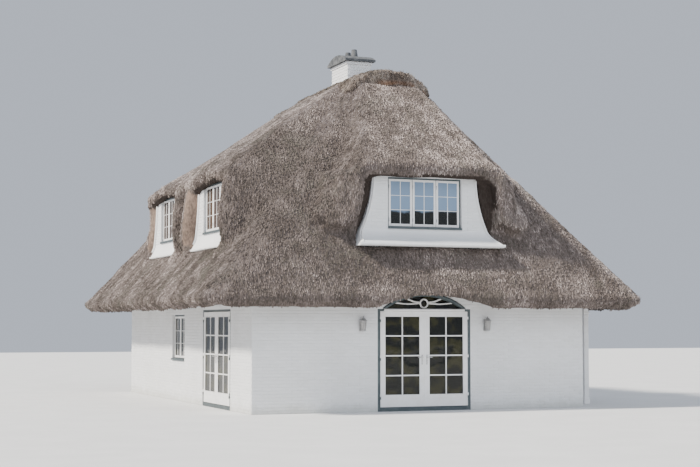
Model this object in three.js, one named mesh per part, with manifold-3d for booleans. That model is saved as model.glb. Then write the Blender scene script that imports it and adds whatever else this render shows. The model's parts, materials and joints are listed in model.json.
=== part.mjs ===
// A white brick cottage under a hipped thatched roof with bell-shaped dormers.
// Millimetres, +Z up. The origin is on the ground at the centre of the plan,
// the front faces -Y and the left side faces -X.
import * as THREE from "three";
import { ConvexGeometry } from "three/addons/geometries/ConvexGeometry.js";
import { mergeVertices } from "three/addons/utils/BufferGeometryUtils.js";
import Module from "manifold-3d";

const wasm = await Module();
wasm.setup();

// Driving dimensions
const GAP = 0.3; // left between two pieces that rest on or beside each other
const SKIN = 0.5; // the same for pieces whose meeting faces slope
const WIDTH = 7400; // outer faces of the side walls
const DEPTH = 10400; // outer faces of the front and back walls
const WALL = 320;
const FLOOR_TOP = 80;
const CEILING = 2300;
const UPPER_FLOOR = 150;

// Roof: the lower edge, the outer lip of the thatch and the flat under the ridge
const EAVE = 2050;
const SIDE_OVERHANG = 950;
const END_OVERHANG = 600;
const LIP_RISE = 200;
const SIDE_LIP = 230;
const END_LIP = 260;
const EAVE_FLAT = 15; // the blunt lower edge of the thatch
const RIDGE_FLAT = 7050;
const RIDGE_HALF = 750;
const RIDGE_SETBACK = 1900;
const RIDGE_TOP = 7330;
const THATCH_UNDER_RIDGE = 350;
const LIP_CORNER = 520; // radius of the rounded corners, in plan
const RIDGE_CORNER = 300;

// Double doors
const DOOR_WIDTH = 2080;
const DOOR_HEAD = 2070;
const DOOR_POST = 60;
const FRAME_DEPTH = 110;
const FRAME_SET = 4; // the frame and leaves stand this far behind the wall face
const LEAF = 46;
const LEAF_TOP = 2020;
const LEAF_BOTTOM = 90;
const STILE = 95;
const BOTTOM_RAIL = 230;
const RUNNING_GAP = 5;
const GLASS = 20;
const HINGE_RADIUS = 10;
const HINGE_AXIS = -8; // the hinge line stands this far outside the wall face
const HINGE_HALF = 55;
const HINGE_HEIGHTS = [300, 1080, 1860];
const FRONT_DOOR = 0;
const SIDE_DOOR = 2730;

// Fanlight over the front door
const FAN_HALF = 900;
const FAN_RISE = 300;
const FAN_RIM = 45;
const EYEBROW_HALF = 1350;
const EYEBROW_RISE = 290;

// Ground-floor windows
const WINDOW_WIDTH = 1100;
const WINDOW_SILL = 930;
const WINDOW_TOP = 1980;
const WINDOW_FRAME = 70;
const SASH_RIM = 65;
const SASH_SET = 60;

// Dormers
const DORMER_FACE = -50;
const DORMER_WALL = 250;
const DORMER_HALF = 1180;
const DORMER_FLARE = 430;
const DORMER_CURVE = 1.9;
const DORMER_SHOULDER = 4720; // the flare ends here, level with the edge of the hood
const DORMER_FLARE_HEIGHT = 1400;
const DORMER_BASE = 3330; // where the face comes out of the thatch
const SKIRT_TOP = 3690; // below this the dormer's face curves outwards
const END_SKIRT = 420; // how far it comes out on the front and back, and on the left
const SIDE_SKIRT = 130;
const SKIRT_EDGE = 70;
const DORMER_WINDOW_HALF = 830;
const DORMER_SILL = 3700;
const DORMER_WINDOW_TOP = 4760;
const HOOD_EDGE = DORMER_SHOULDER;
const HOOD_HALF = 1500;
const HOOD_LIP = 240;
const HOOD_SPREAD = 420; // the sides of a hood slope out this far to the roof
const HOOD_TOP = 7060;
const CHEEK = 330;
const LEFT_DORMERS = [2700, -1100];
const SHOULDER_LEVELS = [3850, 4250, 4650]; // reed sweeps back from a hood's end at these heights

// Chimney, veranda and lamps
const CHIMNEY_WIDTH = 570;
const CHIMNEY_DEPTH = 1000;
const CHIMNEY_Y = -1100;
const CHIMNEY_TOP = 7800;
const POST = 110;
const POST_OUT = 720;
const POST_PLACES = [-4100, 0, 4100];
const LAMP_OUT = 1390;
const LAMP_Z = 1640;

// Colours and finishes
const paint = (color, roughness, metalness = 0) =>
  new THREE.MeshStandardMaterial({ color, roughness, metalness });
const material = {
  whiteBrick: () => paint(0xe9ebee, 0.85),
  timber: () => paint(0xf2f3f2, 0.5),
  frame: () => paint(0x46545a, 0.55),
  floor: () => paint(0x8d8378, 0.8),
  thatch: () => paint(0x7d7065, 1),
  heather: () => paint(0x5a473c, 1),
  glass: () => paint(0x3b464c, 0.12),
  capStone: () => paint(0x595d60, 0.8),
  lampMetal: () => paint(0x8b8d8f, 0.4, 0.8),
};

// Solids
const WELD = 1e-3;

function solid(geometry) {
  const bare = geometry.clone();
  bare.deleteAttribute("normal");
  bare.deleteAttribute("uv");
  const welded = mergeVertices(bare, WELD);
  return new wasm.Manifold(
    new wasm.Mesh({
      numProp: 3,
      vertProperties: Float32Array.from(welded.attributes.position.array),
      triVerts: Uint32Array.from(welded.index.array),
    }),
  );
}

function geometryOf(manifold) {
  const { vertProperties, triVerts } = manifold.getMesh();
  const geometry = new THREE.BufferGeometry();
  geometry.setAttribute("position", new THREE.BufferAttribute(vertProperties, 3));
  geometry.setIndex(new THREE.BufferAttribute(triVerts, 1));
  return geometry;
}

const join = (...parts) => parts.reduce((sum, part) => sum.add(part));
const cut = (base, ...cutters) => cutters.reduce((rest, cutter) => rest.subtract(cutter), base);

function box([x0, x1], [y0, y1], [z0, z1]) {
  const geometry = new THREE.BoxGeometry(x1 - x0, y1 - y0, z1 - z0);
  geometry.translate((x0 + x1) / 2, (y0 + y1) / 2, (z0 + z1) / 2);
  return solid(geometry);
}

function hull(points) {
  return solid(new ConvexGeometry(points.map((point) => new THREE.Vector3(...point))));
}

// A flat outline in x and z, carried through from y0 to y1
function panel(shape, [y0, y1]) {
  const geometry = new THREE.ExtrudeGeometry(shape, {
    depth: y1 - y0,
    bevelEnabled: false,
    curveSegments: 12,
  });
  geometry.rotateX(Math.PI / 2).translate(0, y1, 0);
  return solid(geometry);
}

// A flat outline in plan, carried up through all heights of the roof
function column(points) {
  const shape = new THREE.Shape(points.map(([x, y]) => new THREE.Vector2(x, y)));
  const geometry = new THREE.ExtrudeGeometry(shape, { depth: RIDGE_TOP, bevelEnabled: false });
  return solid(geometry);
}

function outline(points) {
  return new THREE.Shape(points.map(([x, z]) => new THREE.Vector2(x, z)));
}

function rectangle([x0, x1], [z0, z1]) {
  return outline([[x0, z0], [x1, z0], [x1, z1], [x0, z1]]);
}

function rod(x, y, radius, [z0, z1], topRadius = radius) {
  const geometry = new THREE.CylinderGeometry(topRadius, radius, z1 - z0, 16);
  geometry.rotateX(Math.PI / 2).translate(x, y, (z0 + z1) / 2);
  return solid(geometry);
}

// The same solid with a thin skin added, so that what it cuts keeps its gap
function swollen(part) {
  const moves = [-SKIN, 0, SKIN];
  const steps = moves.flatMap((x) => moves.flatMap((y) => moves.map((z) => [x, y, z])));
  return join(...steps.map((step) => part.translate(step)));
}

// Facades: each has its own frame with the wall face at y = 0 and outside at -y
const cottage = new THREE.Group();

function facade(x, y, turn) {
  const group = new THREE.Group();
  group.position.set(x, y, 0);
  group.rotation.z = turn;
  group.updateMatrix();
  cottage.add(group);
  return group;
}

const front = facade(0, -DEPTH / 2, 0);
const back = facade(0, DEPTH / 2, Math.PI);
const left = facade(-WIDTH / 2, 0, -Math.PI / 2);
const right = facade(WIDTH / 2, 0, Math.PI / 2);

function add(parent, name, part, finish) {
  const mesh = new THREE.Mesh(geometryOf(part), finish());
  mesh.name = name;
  parent.add(mesh);
  return mesh;
}

const inHouse = (group, part) => part.transform(group.matrix.elements);

// Roof form
const sideSlope = (RIDGE_FLAT - EAVE - LIP_RISE) / (WIDTH / 2 + SIDE_OVERHANG + SIDE_LIP - RIDGE_HALF);
const endSlope = (RIDGE_FLAT - EAVE - LIP_RISE) / (END_OVERHANG + END_LIP + RIDGE_SETBACK);
const ridgeEnd = DEPTH / 2 - RIDGE_SETBACK;
const lipX = WIDTH / 2 + SIDE_OVERHANG + SIDE_LIP;
const lipY = DEPTH / 2 + END_OVERHANG + END_LIP;

function ring(halfX, halfY, z) {
  return [[-halfX, -halfY, z], [halfX, -halfY, z], [halfX, halfY, z], [-halfX, halfY, z]];
}

function roundRing(halfX, halfY, z, radius) {
  const steps = 4;
  return [0, 1, 2, 3].flatMap((quarter) => {
    const signX = quarter === 0 || quarter === 3 ? 1 : -1;
    const signY = quarter < 2 ? 1 : -1;
    return Array.from({ length: steps + 1 }, (_, i) => {
      const angle = (Math.PI / 2) * (quarter + i / steps);
      const x = signX * (halfX - radius) + radius * Math.cos(angle);
      const y = signY * (halfY - radius) + radius * Math.sin(angle);
      return [x, y, z];
    });
  });
}

function underside(z) {
  const halfX = WIDTH / 2 + SIDE_OVERHANG - EAVE_FLAT - (z - EAVE) / sideSlope;
  const halfY = DEPTH / 2 + END_OVERHANG - EAVE_FLAT - (z - EAVE) / endSlope;
  return ring(halfX, halfY, z);
}

const roofOutside = hull([
  ...roundRing(WIDTH / 2 + SIDE_OVERHANG, DEPTH / 2 + END_OVERHANG, EAVE, LIP_CORNER),
  ...roundRing(lipX, lipY, EAVE + LIP_RISE, LIP_CORNER),
  ...roundRing(RIDGE_HALF, ridgeEnd, RIDGE_FLAT, RIDGE_CORNER),
]);
const roofInside = hull([
  ...underside(EAVE - LIP_RISE),
  ...underside(RIDGE_FLAT - THATCH_UNDER_RIDGE),
]);
const roofCutter = swollen(roofOutside);
const sideWallTop = EAVE + (SIDE_OVERHANG - EAVE_FLAT) * sideSlope - GAP;
const endWallTop = EAVE + (END_OVERHANG - EAVE_FLAT) * endSlope - GAP;

// Dormer outline: straight at the top and flaring towards its base
function dormerHalf(z) {
  const drop = Math.max(0, DORMER_SHOULDER - z) / DORMER_FLARE_HEIGHT;
  return DORMER_HALF + DORMER_FLARE * drop ** DORMER_CURVE;
}

function bell(centre, extra, [y0, y1], [z0, z1]) {
  const steps = 16;
  const low = DORMER_SHOULDER - DORMER_FLARE_HEIGHT * 1.3;
  const side = Array.from({ length: steps + 1 }, (_, i) => {
    const z = low + ((DORMER_SHOULDER - low) * i) / steps;
    return [dormerHalf(z) + extra, z];
  });
  side.push([DORMER_HALF + extra, HOOD_TOP]);
  const mirrored = side.map(([half, z]) => [centre - half, z]).reverse();
  const whole = panel(outline([...side.map(([half, z]) => [centre + half, z]), ...mirrored]), [y0, y1]);
  const reach = DORMER_HALF * 3;
  return whole.intersect(box([centre - reach, centre + reach], [y0 - GAP, y1 + GAP], [z0, z1]));
}

// One thatched hood over a row of dormers, in the frame of its facade
function hood({ centres, lip, topRange, topY, wallTop, slope, overhang, shoulders = [] }) {
  const x0 = Math.min(...centres) - HOOD_HALF;
  const x1 = Math.max(...centres) + HOOD_HALF;
  const rise = (HOOD_TOP - HOOD_EDGE - HOOD_LIP) / (topY + lip);
  const edgeY = -lip + HOOD_LIP * 0.7;
  const roofAtEdge = -overhang + (HOOD_EDGE - EAVE) / slope;
  const edgeInset = 60;
  const cover = hull([
    [x0, -lip, HOOD_EDGE + HOOD_LIP],
    [x1, -lip, HOOD_EDGE + HOOD_LIP],
    [x0 + edgeInset, edgeY, HOOD_EDGE],
    [x1 - edgeInset, edgeY, HOOD_EDGE],
    [x0 - HOOD_SPREAD, roofAtEdge + HOOD_LIP, HOOD_EDGE],
    [x1 + HOOD_SPREAD, roofAtEdge + HOOD_LIP, HOOD_EDGE],
    [topRange[0], topY, HOOD_TOP],
    [topRange[1], topY, HOOD_TOP],
  ]);
  const under = (y) => HOOD_EDGE + (y - edgeY) * rise;
  const cheeks = centres.map((centre) =>
    bell(centre, CHEEK, [DORMER_FACE - 10, roofAtEdge], [DORMER_BASE, HOOD_EDGE]),
  );
  const between = [Math.min(...centres) - CHEEK, Math.max(...centres) + CHEEK];
  cheeks.push(box(between, [DORMER_FACE, roofAtEdge], [DORMER_BASE, HOOD_EDGE]));
  shoulders.forEach(([centre, side, reaches]) => {
    const edge = centre + side * HOOD_HALF;
    const cheek = (z) => centre + side * (dormerHalf(z) + CHEEK * 0.9);
    const lipBack = HOOD_LIP + (EAVE - HOOD_EDGE) / slope;
    const roofY = (z) => -overhang - lipBack + HOOD_LIP + (z - HOOD_EDGE) / slope;
    cheeks.push(
      hull([
        [edge, -lip, HOOD_EDGE + HOOD_LIP],
        [edge - side * edgeInset, edgeY, HOOD_EDGE],
        ...SHOULDER_LEVELS.map((z) => [cheek(z), DORMER_FACE, z]),
        ...SHOULDER_LEVELS.map((z, i) => [side * reaches[i], roofY(z) + HOOD_LIP, z]),
        [side > 0 ? topRange[1] : topRange[0], topY, HOOD_TOP],
      ]),
    );
  });
  const rooms = centres.map((centre) => {
    const half = DORMER_HALF + GAP;
    const deep = roofAtEdge;
    const mid = DORMER_WALL + 100;
    const ends = [centre - half, centre + half];
    const bay = hull(
      ends.flatMap((x) => [
        [x, edgeY, DORMER_SILL],
        [x, edgeY, HOOD_EDGE],
        [x, mid, under(mid)],
        [centre + (x - centre) / 2, deep + 600, under(deep + 600)],
        [x, deep + 600, DORMER_SILL],
      ]),
    );
    const face = bell(centre, GAP, [DORMER_FACE, deep + 600], [wallTop - GAP, HOOD_EDGE]);
    const mouth = bell(centre, GAP, [-2000, DORMER_FACE], [DORMER_BASE, HOOD_EDGE]);
    return join(bay, face, mouth);
  });
  const space = join(...rooms);
  const thatch = cut(join(cover, ...cheeks), space);
  return { thatch, space, wallHead: under(DORMER_FACE) - GAP };
}

const endHood = {
  centres: [0],
  lip: 420,
  topRange: [-620, 620],
  topY: RIDGE_SETBACK - 40,
  wallTop: endWallTop + GAP,
  slope: endSlope,
  overhang: END_OVERHANG,
};
const sideHood = {
  centres: LEFT_DORMERS,
  lip: 260,
  topRange: [-3150, 2700],
  topY: WIDTH / 2 - RIDGE_HALF - 100,
  wallTop: sideWallTop + GAP,
  slope: sideSlope,
  overhang: SIDE_OVERHANG,
  shoulders: [
    [LEFT_DORMERS[0], 1, [4980, 4830, 4600]],
    [LEFT_DORMERS[1], -1, [3600, 3500, 3300]],
  ],
};
const frontHood = hood(endHood);
const backHood = hood(endHood);
const leftHood = hood(sideHood);
const frontHoodThatch = inHouse(front, frontHood.thatch);
const backHoodThatch = inHouse(back, backHood.thatch);
const leftHoodThatch = inHouse(left, leftHood.thatch);

// Chimney stack, standing on the ground floor
const chimneyX = [-CHIMNEY_WIDTH / 2, CHIMNEY_WIDTH / 2];
const chimneyY = [CHIMNEY_Y - CHIMNEY_DEPTH / 2, CHIMNEY_Y + CHIMNEY_DEPTH / 2];
const stack = box(chimneyX, chimneyY, [FLOOR_TOP + GAP, CHIMNEY_TOP]);
const stackCutter = swollen(stack);

function arcShape(half, rise, base) {
  const radius = (half ** 2 + rise ** 2) / (2 * rise);
  const centre = base + rise - radius;
  const spread = Math.asin(half / radius);
  const shape = new THREE.Shape();
  shape.absarc(0, centre, radius, Math.PI / 2 - spread, Math.PI / 2 + spread, false);
  shape.closePath();
  return shape;
}

function addRoof() {
  const shell = cut(
    roofOutside,
    roofInside,
    stackCutter,
    inHouse(front, frontHood.space),
    inHouse(back, backHood.space),
    inHouse(left, leftHood.space),
    panel(arcShape(EYEBROW_HALF, EYEBROW_RISE, EAVE), [-lipY - GAP, -DEPTH / 2]),
  );
  const half = GAP / 2;
  const far = 1.1; // carries the cutting lines past the corners of the roof
  const cornerX = RIDGE_HALF + (lipX - RIDGE_HALF) * far;
  const cornerY = ridgeEnd + (lipY - ridgeEnd) * far;
  const end = (s) => [
    [-cornerX, s * (cornerY + half)],
    [-RIDGE_HALF, s * (ridgeEnd + half)],
    [RIDGE_HALF, s * (ridgeEnd + half)],
    [cornerX, s * (cornerY + half)],
  ];
  const side = (s) => [
    [s * cornerX, -cornerY + half],
    [s * RIDGE_HALF, -ridgeEnd + half],
    [s * half, -ridgeEnd + half],
    [s * half, ridgeEnd - half],
    [s * RIDGE_HALF, ridgeEnd - half],
    [s * cornerX, cornerY - half],
  ];
  add(cottage, "thatch_front", shell.intersect(column(end(-1))), material.thatch);
  add(cottage, "thatch_back", shell.intersect(column(end(1))), material.thatch);
  add(cottage, "thatch_left", shell.intersect(column(side(-1))), material.thatch);
  add(cottage, "thatch_right", shell.intersect(column(side(1))), material.thatch);

  const rise = RIDGE_TOP - RIDGE_FLAT;
  const capShape = outline([
    [-1020, RIDGE_FLAT - rise],
    [1020, RIDGE_FLAT - rise],
    [RIDGE_HALF + 60, RIDGE_FLAT + 40],
    [450, RIDGE_TOP - 60],
    [0, RIDGE_TOP],
    [-450, RIDGE_TOP - 60],
    [-RIDGE_HALF - 60, RIDGE_FLAT + 40],
  ]);
  const capEnd = ridgeEnd + 130;
  const cap = panel(capShape, [-capEnd, capEnd]);
  const capCutter = swollen(cap);
  add(cottage, "ridge_cap", cut(cap, roofCutter, stackCutter), material.heather);
  add(cottage, "front_dormer_thatch", cut(frontHoodThatch, roofCutter, capCutter), material.thatch);
  add(cottage, "back_dormer_thatch", cut(backHoodThatch, roofCutter, capCutter), material.thatch);
  const endHoods = swollen(join(frontHoodThatch, backHoodThatch));
  const sideThatch = cut(leftHoodThatch, roofCutter, capCutter, endHoods);
  add(cottage, "left_dormer_thatch", sideThatch, material.thatch);
}

// Walls and floors
function opening(centre, width, [z0, z1]) {
  return box([centre - width / 2, centre + width / 2], [-GAP, WALL + GAP], [z0, z1]);
}

function addWall(group, name, [x0, x1], [z0, z1], cutters = []) {
  const wall = box([x0, x1], [0, WALL], [z0, z1]);
  add(group, name, cut(wall, ...cutters), material.whiteBrick);
}

const RIGHT_WINDOWS = [-2400, 900];
const BACK_WINDOWS = [-1900, 1900];
const LEFT_WINDOW = -400;

function windowHole(centre) {
  return opening(centre, WINDOW_WIDTH, [WINDOW_SILL, WINDOW_TOP]);
}

function addWalls() {
  const doorHalf = DOOR_WIDTH / 2;
  const fan = panel(arcShape(FAN_HALF + GAP, FAN_RISE + GAP, DOOR_HEAD), [-GAP, WALL + GAP]);
  addWall(front, "front_wall_left", [-WIDTH / 2, -doorHalf - GAP], [0, endWallTop]);
  addWall(front, "front_wall_right", [doorHalf + GAP, WIDTH / 2], [0, endWallTop]);
  addWall(front, "front_wall_over_door", [-doorHalf, doorHalf], [DOOR_HEAD + GAP, endWallTop], [fan]);

  const reach = DEPTH / 2 - WALL - GAP;
  const doorEdges = [SIDE_DOOR - doorHalf, SIDE_DOOR + doorHalf];
  addWall(left, "left_wall_front", [doorEdges[1] + GAP, reach], [0, sideWallTop]);
  addWall(left, "left_wall_rear", [-reach, doorEdges[0] - GAP], [0, sideWallTop], [windowHole(LEFT_WINDOW)]);
  addWall(left, "left_wall_over_door", doorEdges, [DOOR_HEAD + GAP, sideWallTop]);
  addWall(right, "right_wall", [-reach, reach], [0, sideWallTop], RIGHT_WINDOWS.map(windowHole));
  addWall(back, "back_wall", [-WIDTH / 2, WIDTH / 2], [0, endWallTop], BACK_WINDOWS.map(windowHole));

  const inX = WIDTH / 2 - WALL - GAP;
  const inY = DEPTH / 2 - WALL - GAP;
  const floor = ([z0, z1]) => box([-inX, inX], [-inY, inY], [z0, z1]);
  add(cottage, "ground_floor", floor([0, FLOOR_TOP]), material.floor);
  const upper = cut(floor([CEILING, CEILING + UPPER_FLOOR]), stackCutter);
  add(cottage, "upper_floor", upper, material.floor);
}

// Hinge barrels: the lower half is on the frame and the upper half on the leaf
function barrels(axisX, side, onLeaf) {
  const reach = onLeaf ? -side * 40 : side * 30;
  return HINGE_HEIGHTS.map((z) => {
    const span = onLeaf ? [z + GAP, z + HINGE_HALF] : [z - HINGE_HALF, z];
    const wing = [Math.min(axisX, axisX + reach), Math.max(axisX, axisX + reach)];
    return join(
      rod(axisX, HINGE_AXIS, HINGE_RADIUS, span),
      box(wing, [HINGE_AXIS - 4, FRAME_SET + 1], span),
    );
  });
}

// A pair of glazed leaves that open outwards, in the frame of the facade
function addDoors(group, prefix, centre, leafNames, withFan) {
  const half = DOOR_WIDTH / 2 - GAP;
  const clear = DOOR_WIDTH / 2 - DOOR_POST;
  const headUnder = LEAF_TOP + RUNNING_GAP * 2;
  const depth = [FRAME_SET, FRAME_SET + FRAME_DEPTH];
  const shape = rectangle([centre - half, centre + half], [0, DOOR_HEAD]);
  shape.holes.push(rectangle([centre - clear, centre + clear], [FLOOR_TOP, headUnder]));
  const sill = box([centre - half, centre + half], [FRAME_SET, WALL], [0, FLOOR_TOP]);
  const pieces = [panel(shape, depth), sill];
  if (withFan) {
    const hole = panel(arcShape(FAN_HALF - FAN_RIM, FAN_RISE - FAN_RIM, DOOR_HEAD), [0, WALL]);
    pieces.push(cut(panel(arcShape(FAN_HALF, FAN_RISE, DOOR_HEAD - 1), depth), hole));
    const pane = arcShape(FAN_HALF - FAN_RIM - GAP * 9, FAN_RISE - FAN_RIM - GAP, DOOR_HEAD + GAP);
    const middle = FRAME_SET + FRAME_DEPTH / 2;
    add(group, `${prefix}_fanlight`, panel(pane, [middle, middle + GLASS]), material.glass);
  }
  const axisGap = RUNNING_GAP - 1;
  const leafHalf = clear - RUNNING_GAP;
  [-1, 1].forEach((side, index) => {
    const axisX = centre + side * (leafHalf + axisGap);
    pieces.push(...barrels(axisX, side, false));
    const edges = [centre + side * RUNNING_GAP, centre + side * leafHalf].sort((a, b) => a - b);
    const pane = [edges[0] + STILE, edges[1] - STILE];
    const paneZ = [LEAF_BOTTOM + BOTTOM_RAIL, LEAF_TOP - STILE];
    const leafShape = rectangle(edges, [LEAF_BOTTOM, LEAF_TOP]);
    leafShape.holes.push(rectangle(pane, paneZ));
    const leaf = join(
      panel(leafShape, [FRAME_SET, FRAME_SET + LEAF]),
      ...barrels(axisX, side, true),
    );
    add(group, leafNames[index], leaf, material.timber);
    const glass = box(
      [pane[0] + GAP, pane[1] - GAP],
      [FRAME_SET + (LEAF - GLASS) / 2, FRAME_SET + (LEAF + GLASS) / 2],
      [paneZ[0] + GAP, paneZ[1] - GAP],
    );
    add(group, `${leafNames[index]}_glass`, glass, material.glass);
  });
  add(group, `${prefix}_frame`, join(...pieces), material.frame);
}

// A fixed window: a rim with upright bars between its casements, glass behind
function addWindow(group, name, centre, { half, z, casements, set, sill }) {
  const x0 = centre - half + GAP;
  const x1 = centre + half - GAP;
  const z0 = z[0] + GAP;
  const depth = [set, set + WINDOW_FRAME];
  const pitch = (x1 - x0 - SASH_RIM) / casements;
  const lights = Array.from({ length: casements }, (_, i) => {
    const start = x0 + SASH_RIM + i * pitch;
    const width = pitch - SASH_RIM;
    return box([start, start + width], [set - GAP, depth[1] + GAP], [z0 + SASH_RIM, z[1] - SASH_RIM]);
  });
  const frame = cut(box([x0, x1], depth, [z0, z[1] - GAP]), ...lights);
  const ledge = box([x0, x1], [set - sill, set], [z0, z0 + 45]);
  add(group, `${name}_frame`, join(frame, ledge), material.frame);
  const rim = SASH_RIM / 2;
  const behind = set + WINDOW_FRAME + GAP;
  const glass = box([x0 + rim, x1 - rim], [behind, behind + GLASS], [z0 + rim, z[1] - rim]);
  add(group, `${name}_glass`, glass, material.glass);
}

// The foot of a dormer's face, which curves out over the thatch
function skirt(centre, out) {
  const low = DORMER_BASE + GAP;
  const steps = 8;
  const inner = DORMER_FACE + DORMER_WALL - GAP;
  const curve = Array.from({ length: steps + 1 }, (_, i) => {
    const share = i / steps;
    const z = SKIRT_TOP + (low + SKIRT_EDGE - SKIRT_TOP) * share;
    return [DORMER_FACE + GAP - out * share ** 2, z];
  });
  const outwards = [...curve, [DORMER_FACE + GAP - out, low], [inner, low], [inner, SKIRT_TOP]];
  const reach = DORMER_HALF * 3;
  const profile = panel(outline(outwards), [-reach, reach]).rotate([0, 0, 90]).translate([centre, 0, 0]);
  return bell(centre, 0, [DORMER_FACE - out, inner], [low, SKIRT_TOP]).intersect(profile);
}

function addDormer(group, name, centre, wallTop, wallHead, out) {
  const depth = [DORMER_FACE + GAP, DORMER_FACE + DORMER_WALL];
  const wall = join(bell(centre, 0, depth, [wallTop, wallHead]), skirt(centre, out));
  const z = [DORMER_SILL, DORMER_WINDOW_TOP];
  const hole = box(
    [centre - DORMER_WINDOW_HALF, centre + DORMER_WINDOW_HALF],
    [DORMER_FACE - GAP, DORMER_FACE + DORMER_WALL + GAP],
    z,
  );
  add(group, `${name}_wall`, cut(wall, hole), material.whiteBrick);
  const set = DORMER_FACE + SASH_SET;
  addWindow(group, name, centre, { half: DORMER_WINDOW_HALF, z, casements: 3, set, sill: SASH_SET + 30 });
}

function addOpenings() {
  addDoors(front, "front_door", FRONT_DOOR, ["front_door_leaf_left", "front_door_leaf_right"], true);
  addDoors(left, "side_door", SIDE_DOOR, ["side_door_leaf_rear", "side_door_leaf_front"], false);
  const plain = {
    half: WINDOW_WIDTH / 2,
    z: [WINDOW_SILL, WINDOW_TOP],
    casements: 2,
    set: SASH_SET,
    sill: SASH_SET + 40,
  };
  addWindow(left, "left_window", LEFT_WINDOW, plain);
  addWindow(right, "right_window_front", RIGHT_WINDOWS[0], plain);
  addWindow(right, "right_window_rear", RIGHT_WINDOWS[1], plain);
  addWindow(back, "back_window_east", BACK_WINDOWS[0], plain);
  addWindow(back, "back_window_west", BACK_WINDOWS[1], plain);
  addDormer(front, "front_dormer", 0, endWallTop + GAP, frontHood.wallHead, END_SKIRT);
  addDormer(back, "back_dormer", 0, endWallTop + GAP, backHood.wallHead, END_SKIRT);
  ["left_dormer_front", "left_dormer_rear"].forEach((name, i) => {
    addDormer(left, name, LEFT_DORMERS[i], sideWallTop + GAP, leftHood.wallHead, SIDE_SKIRT);
  });
}

function addChimney() {
  add(cottage, "chimney_stack", stack, material.whiteBrick);
  const [x0, x1] = chimneyX;
  const [y0, y1] = chimneyY;
  const over = 90;
  const z0 = CHIMNEY_TOP + GAP;
  const capShape = arcShape(CHIMNEY_DEPTH / 2 + over, 150, z0 + 45);
  const arch = panel(capShape, [-x1 - over, x1 + over]).rotate([0, 0, 90]);
  const slab = join(
    arch,
    box([-x1 - over, x1 + over], [-CHIMNEY_DEPTH / 2 - over, CHIMNEY_DEPTH / 2 + over], [z0, z0 + 50]),
  ).translate([0, CHIMNEY_Y, 0]);
  const potZ = [z0 + 150, z0 + 330];
  const pots = [-200, 200].map((along) => rod((x0 + x1) / 2, (y0 + y1) / 2 + along, 85, potZ, 60));
  add(cottage, "chimney_cap", join(slab, ...pots), material.capStone);
}

// Posts and a beam that carry the deep eave along the right side
function addVeranda() {
  const outer = WIDTH / 2 + POST_OUT + POST / 2;
  const span = [outer - POST, outer];
  const top = EAVE + (WIDTH / 2 + SIDE_OVERHANG - EAVE_FLAT - outer) * sideSlope - GAP;
  const reach = DEPTH / 2 - 300;
  const beam = box(span, [-reach, reach], [top - POST, top]);
  const posts = POST_PLACES.map((y) => box(span, [y - POST / 2, y + POST / 2], [0, top - 1]));
  add(cottage, "veranda_frame", join(beam, ...posts), material.timber);
}

function addLamps() {
  [-1, 1].forEach((side) => {
    const x = side * LAMP_OUT;
    const plate = box([x - 45, x + 45], [-20, -GAP], [LAMP_Z, LAMP_Z + 200]);
    const arm = box([x - 12, x + 12], [-100, -19], [LAMP_Z + 150, LAMP_Z + 174]);
    const lantern = rod(x, -100, 42, [LAMP_Z - 10, LAMP_Z + 190], 62);
    const hat = rod(x, -100, 75, [LAMP_Z + 189, LAMP_Z + 250], 15);
    const name = side < 0 ? "wall_lamp_left" : "wall_lamp_right";
    add(front, name, join(plate, arm, lantern, hat), material.lampMetal);
  });
}

addWalls();
addOpenings();
addRoof();
addChimney();
addVeranda();
addLamps();

export default cottage;
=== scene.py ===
# %% [markdown]
# # A thatched cottage
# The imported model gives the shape: walls, openings, floors, thatch, doors on hinges.
# This script adds what the eye reads as a house: reeds, heather, painted bricks,
# glazing bars, trim and light. Before each step a note says what the real thing is
# like, how it could be made and why this way was chosen.
# Lengths are metres. The front faces -Y and the side with two dormers faces -X.

import json
import math
import random

import bmesh
import bpy
import numpy as np
from mathutils import Matrix, Vector, noise
from mathutils.bvhtree import BVHTree

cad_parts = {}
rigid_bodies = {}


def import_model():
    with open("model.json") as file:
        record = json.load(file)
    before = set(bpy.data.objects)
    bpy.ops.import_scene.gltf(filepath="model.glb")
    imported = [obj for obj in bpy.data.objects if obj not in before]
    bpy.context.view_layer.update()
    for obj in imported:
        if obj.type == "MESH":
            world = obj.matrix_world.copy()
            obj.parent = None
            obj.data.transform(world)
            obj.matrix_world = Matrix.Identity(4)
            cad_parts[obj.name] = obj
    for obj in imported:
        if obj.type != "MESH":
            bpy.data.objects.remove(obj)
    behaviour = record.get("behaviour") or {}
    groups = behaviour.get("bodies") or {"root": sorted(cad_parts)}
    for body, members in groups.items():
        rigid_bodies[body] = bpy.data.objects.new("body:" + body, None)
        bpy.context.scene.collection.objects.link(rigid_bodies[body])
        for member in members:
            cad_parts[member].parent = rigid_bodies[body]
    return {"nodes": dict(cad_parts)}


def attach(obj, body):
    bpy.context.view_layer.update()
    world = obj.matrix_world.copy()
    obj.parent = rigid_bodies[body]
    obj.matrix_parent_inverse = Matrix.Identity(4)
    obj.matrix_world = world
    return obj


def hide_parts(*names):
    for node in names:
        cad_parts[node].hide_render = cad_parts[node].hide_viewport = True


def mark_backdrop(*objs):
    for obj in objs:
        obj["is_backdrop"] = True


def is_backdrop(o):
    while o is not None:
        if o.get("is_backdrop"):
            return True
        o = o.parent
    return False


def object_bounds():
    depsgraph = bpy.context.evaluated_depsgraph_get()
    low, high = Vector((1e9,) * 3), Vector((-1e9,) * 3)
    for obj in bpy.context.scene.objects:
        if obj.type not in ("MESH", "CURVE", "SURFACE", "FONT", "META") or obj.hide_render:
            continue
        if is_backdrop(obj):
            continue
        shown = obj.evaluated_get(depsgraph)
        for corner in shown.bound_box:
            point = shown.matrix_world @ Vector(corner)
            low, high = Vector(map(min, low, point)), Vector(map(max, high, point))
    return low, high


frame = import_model()
size_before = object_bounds()
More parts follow.
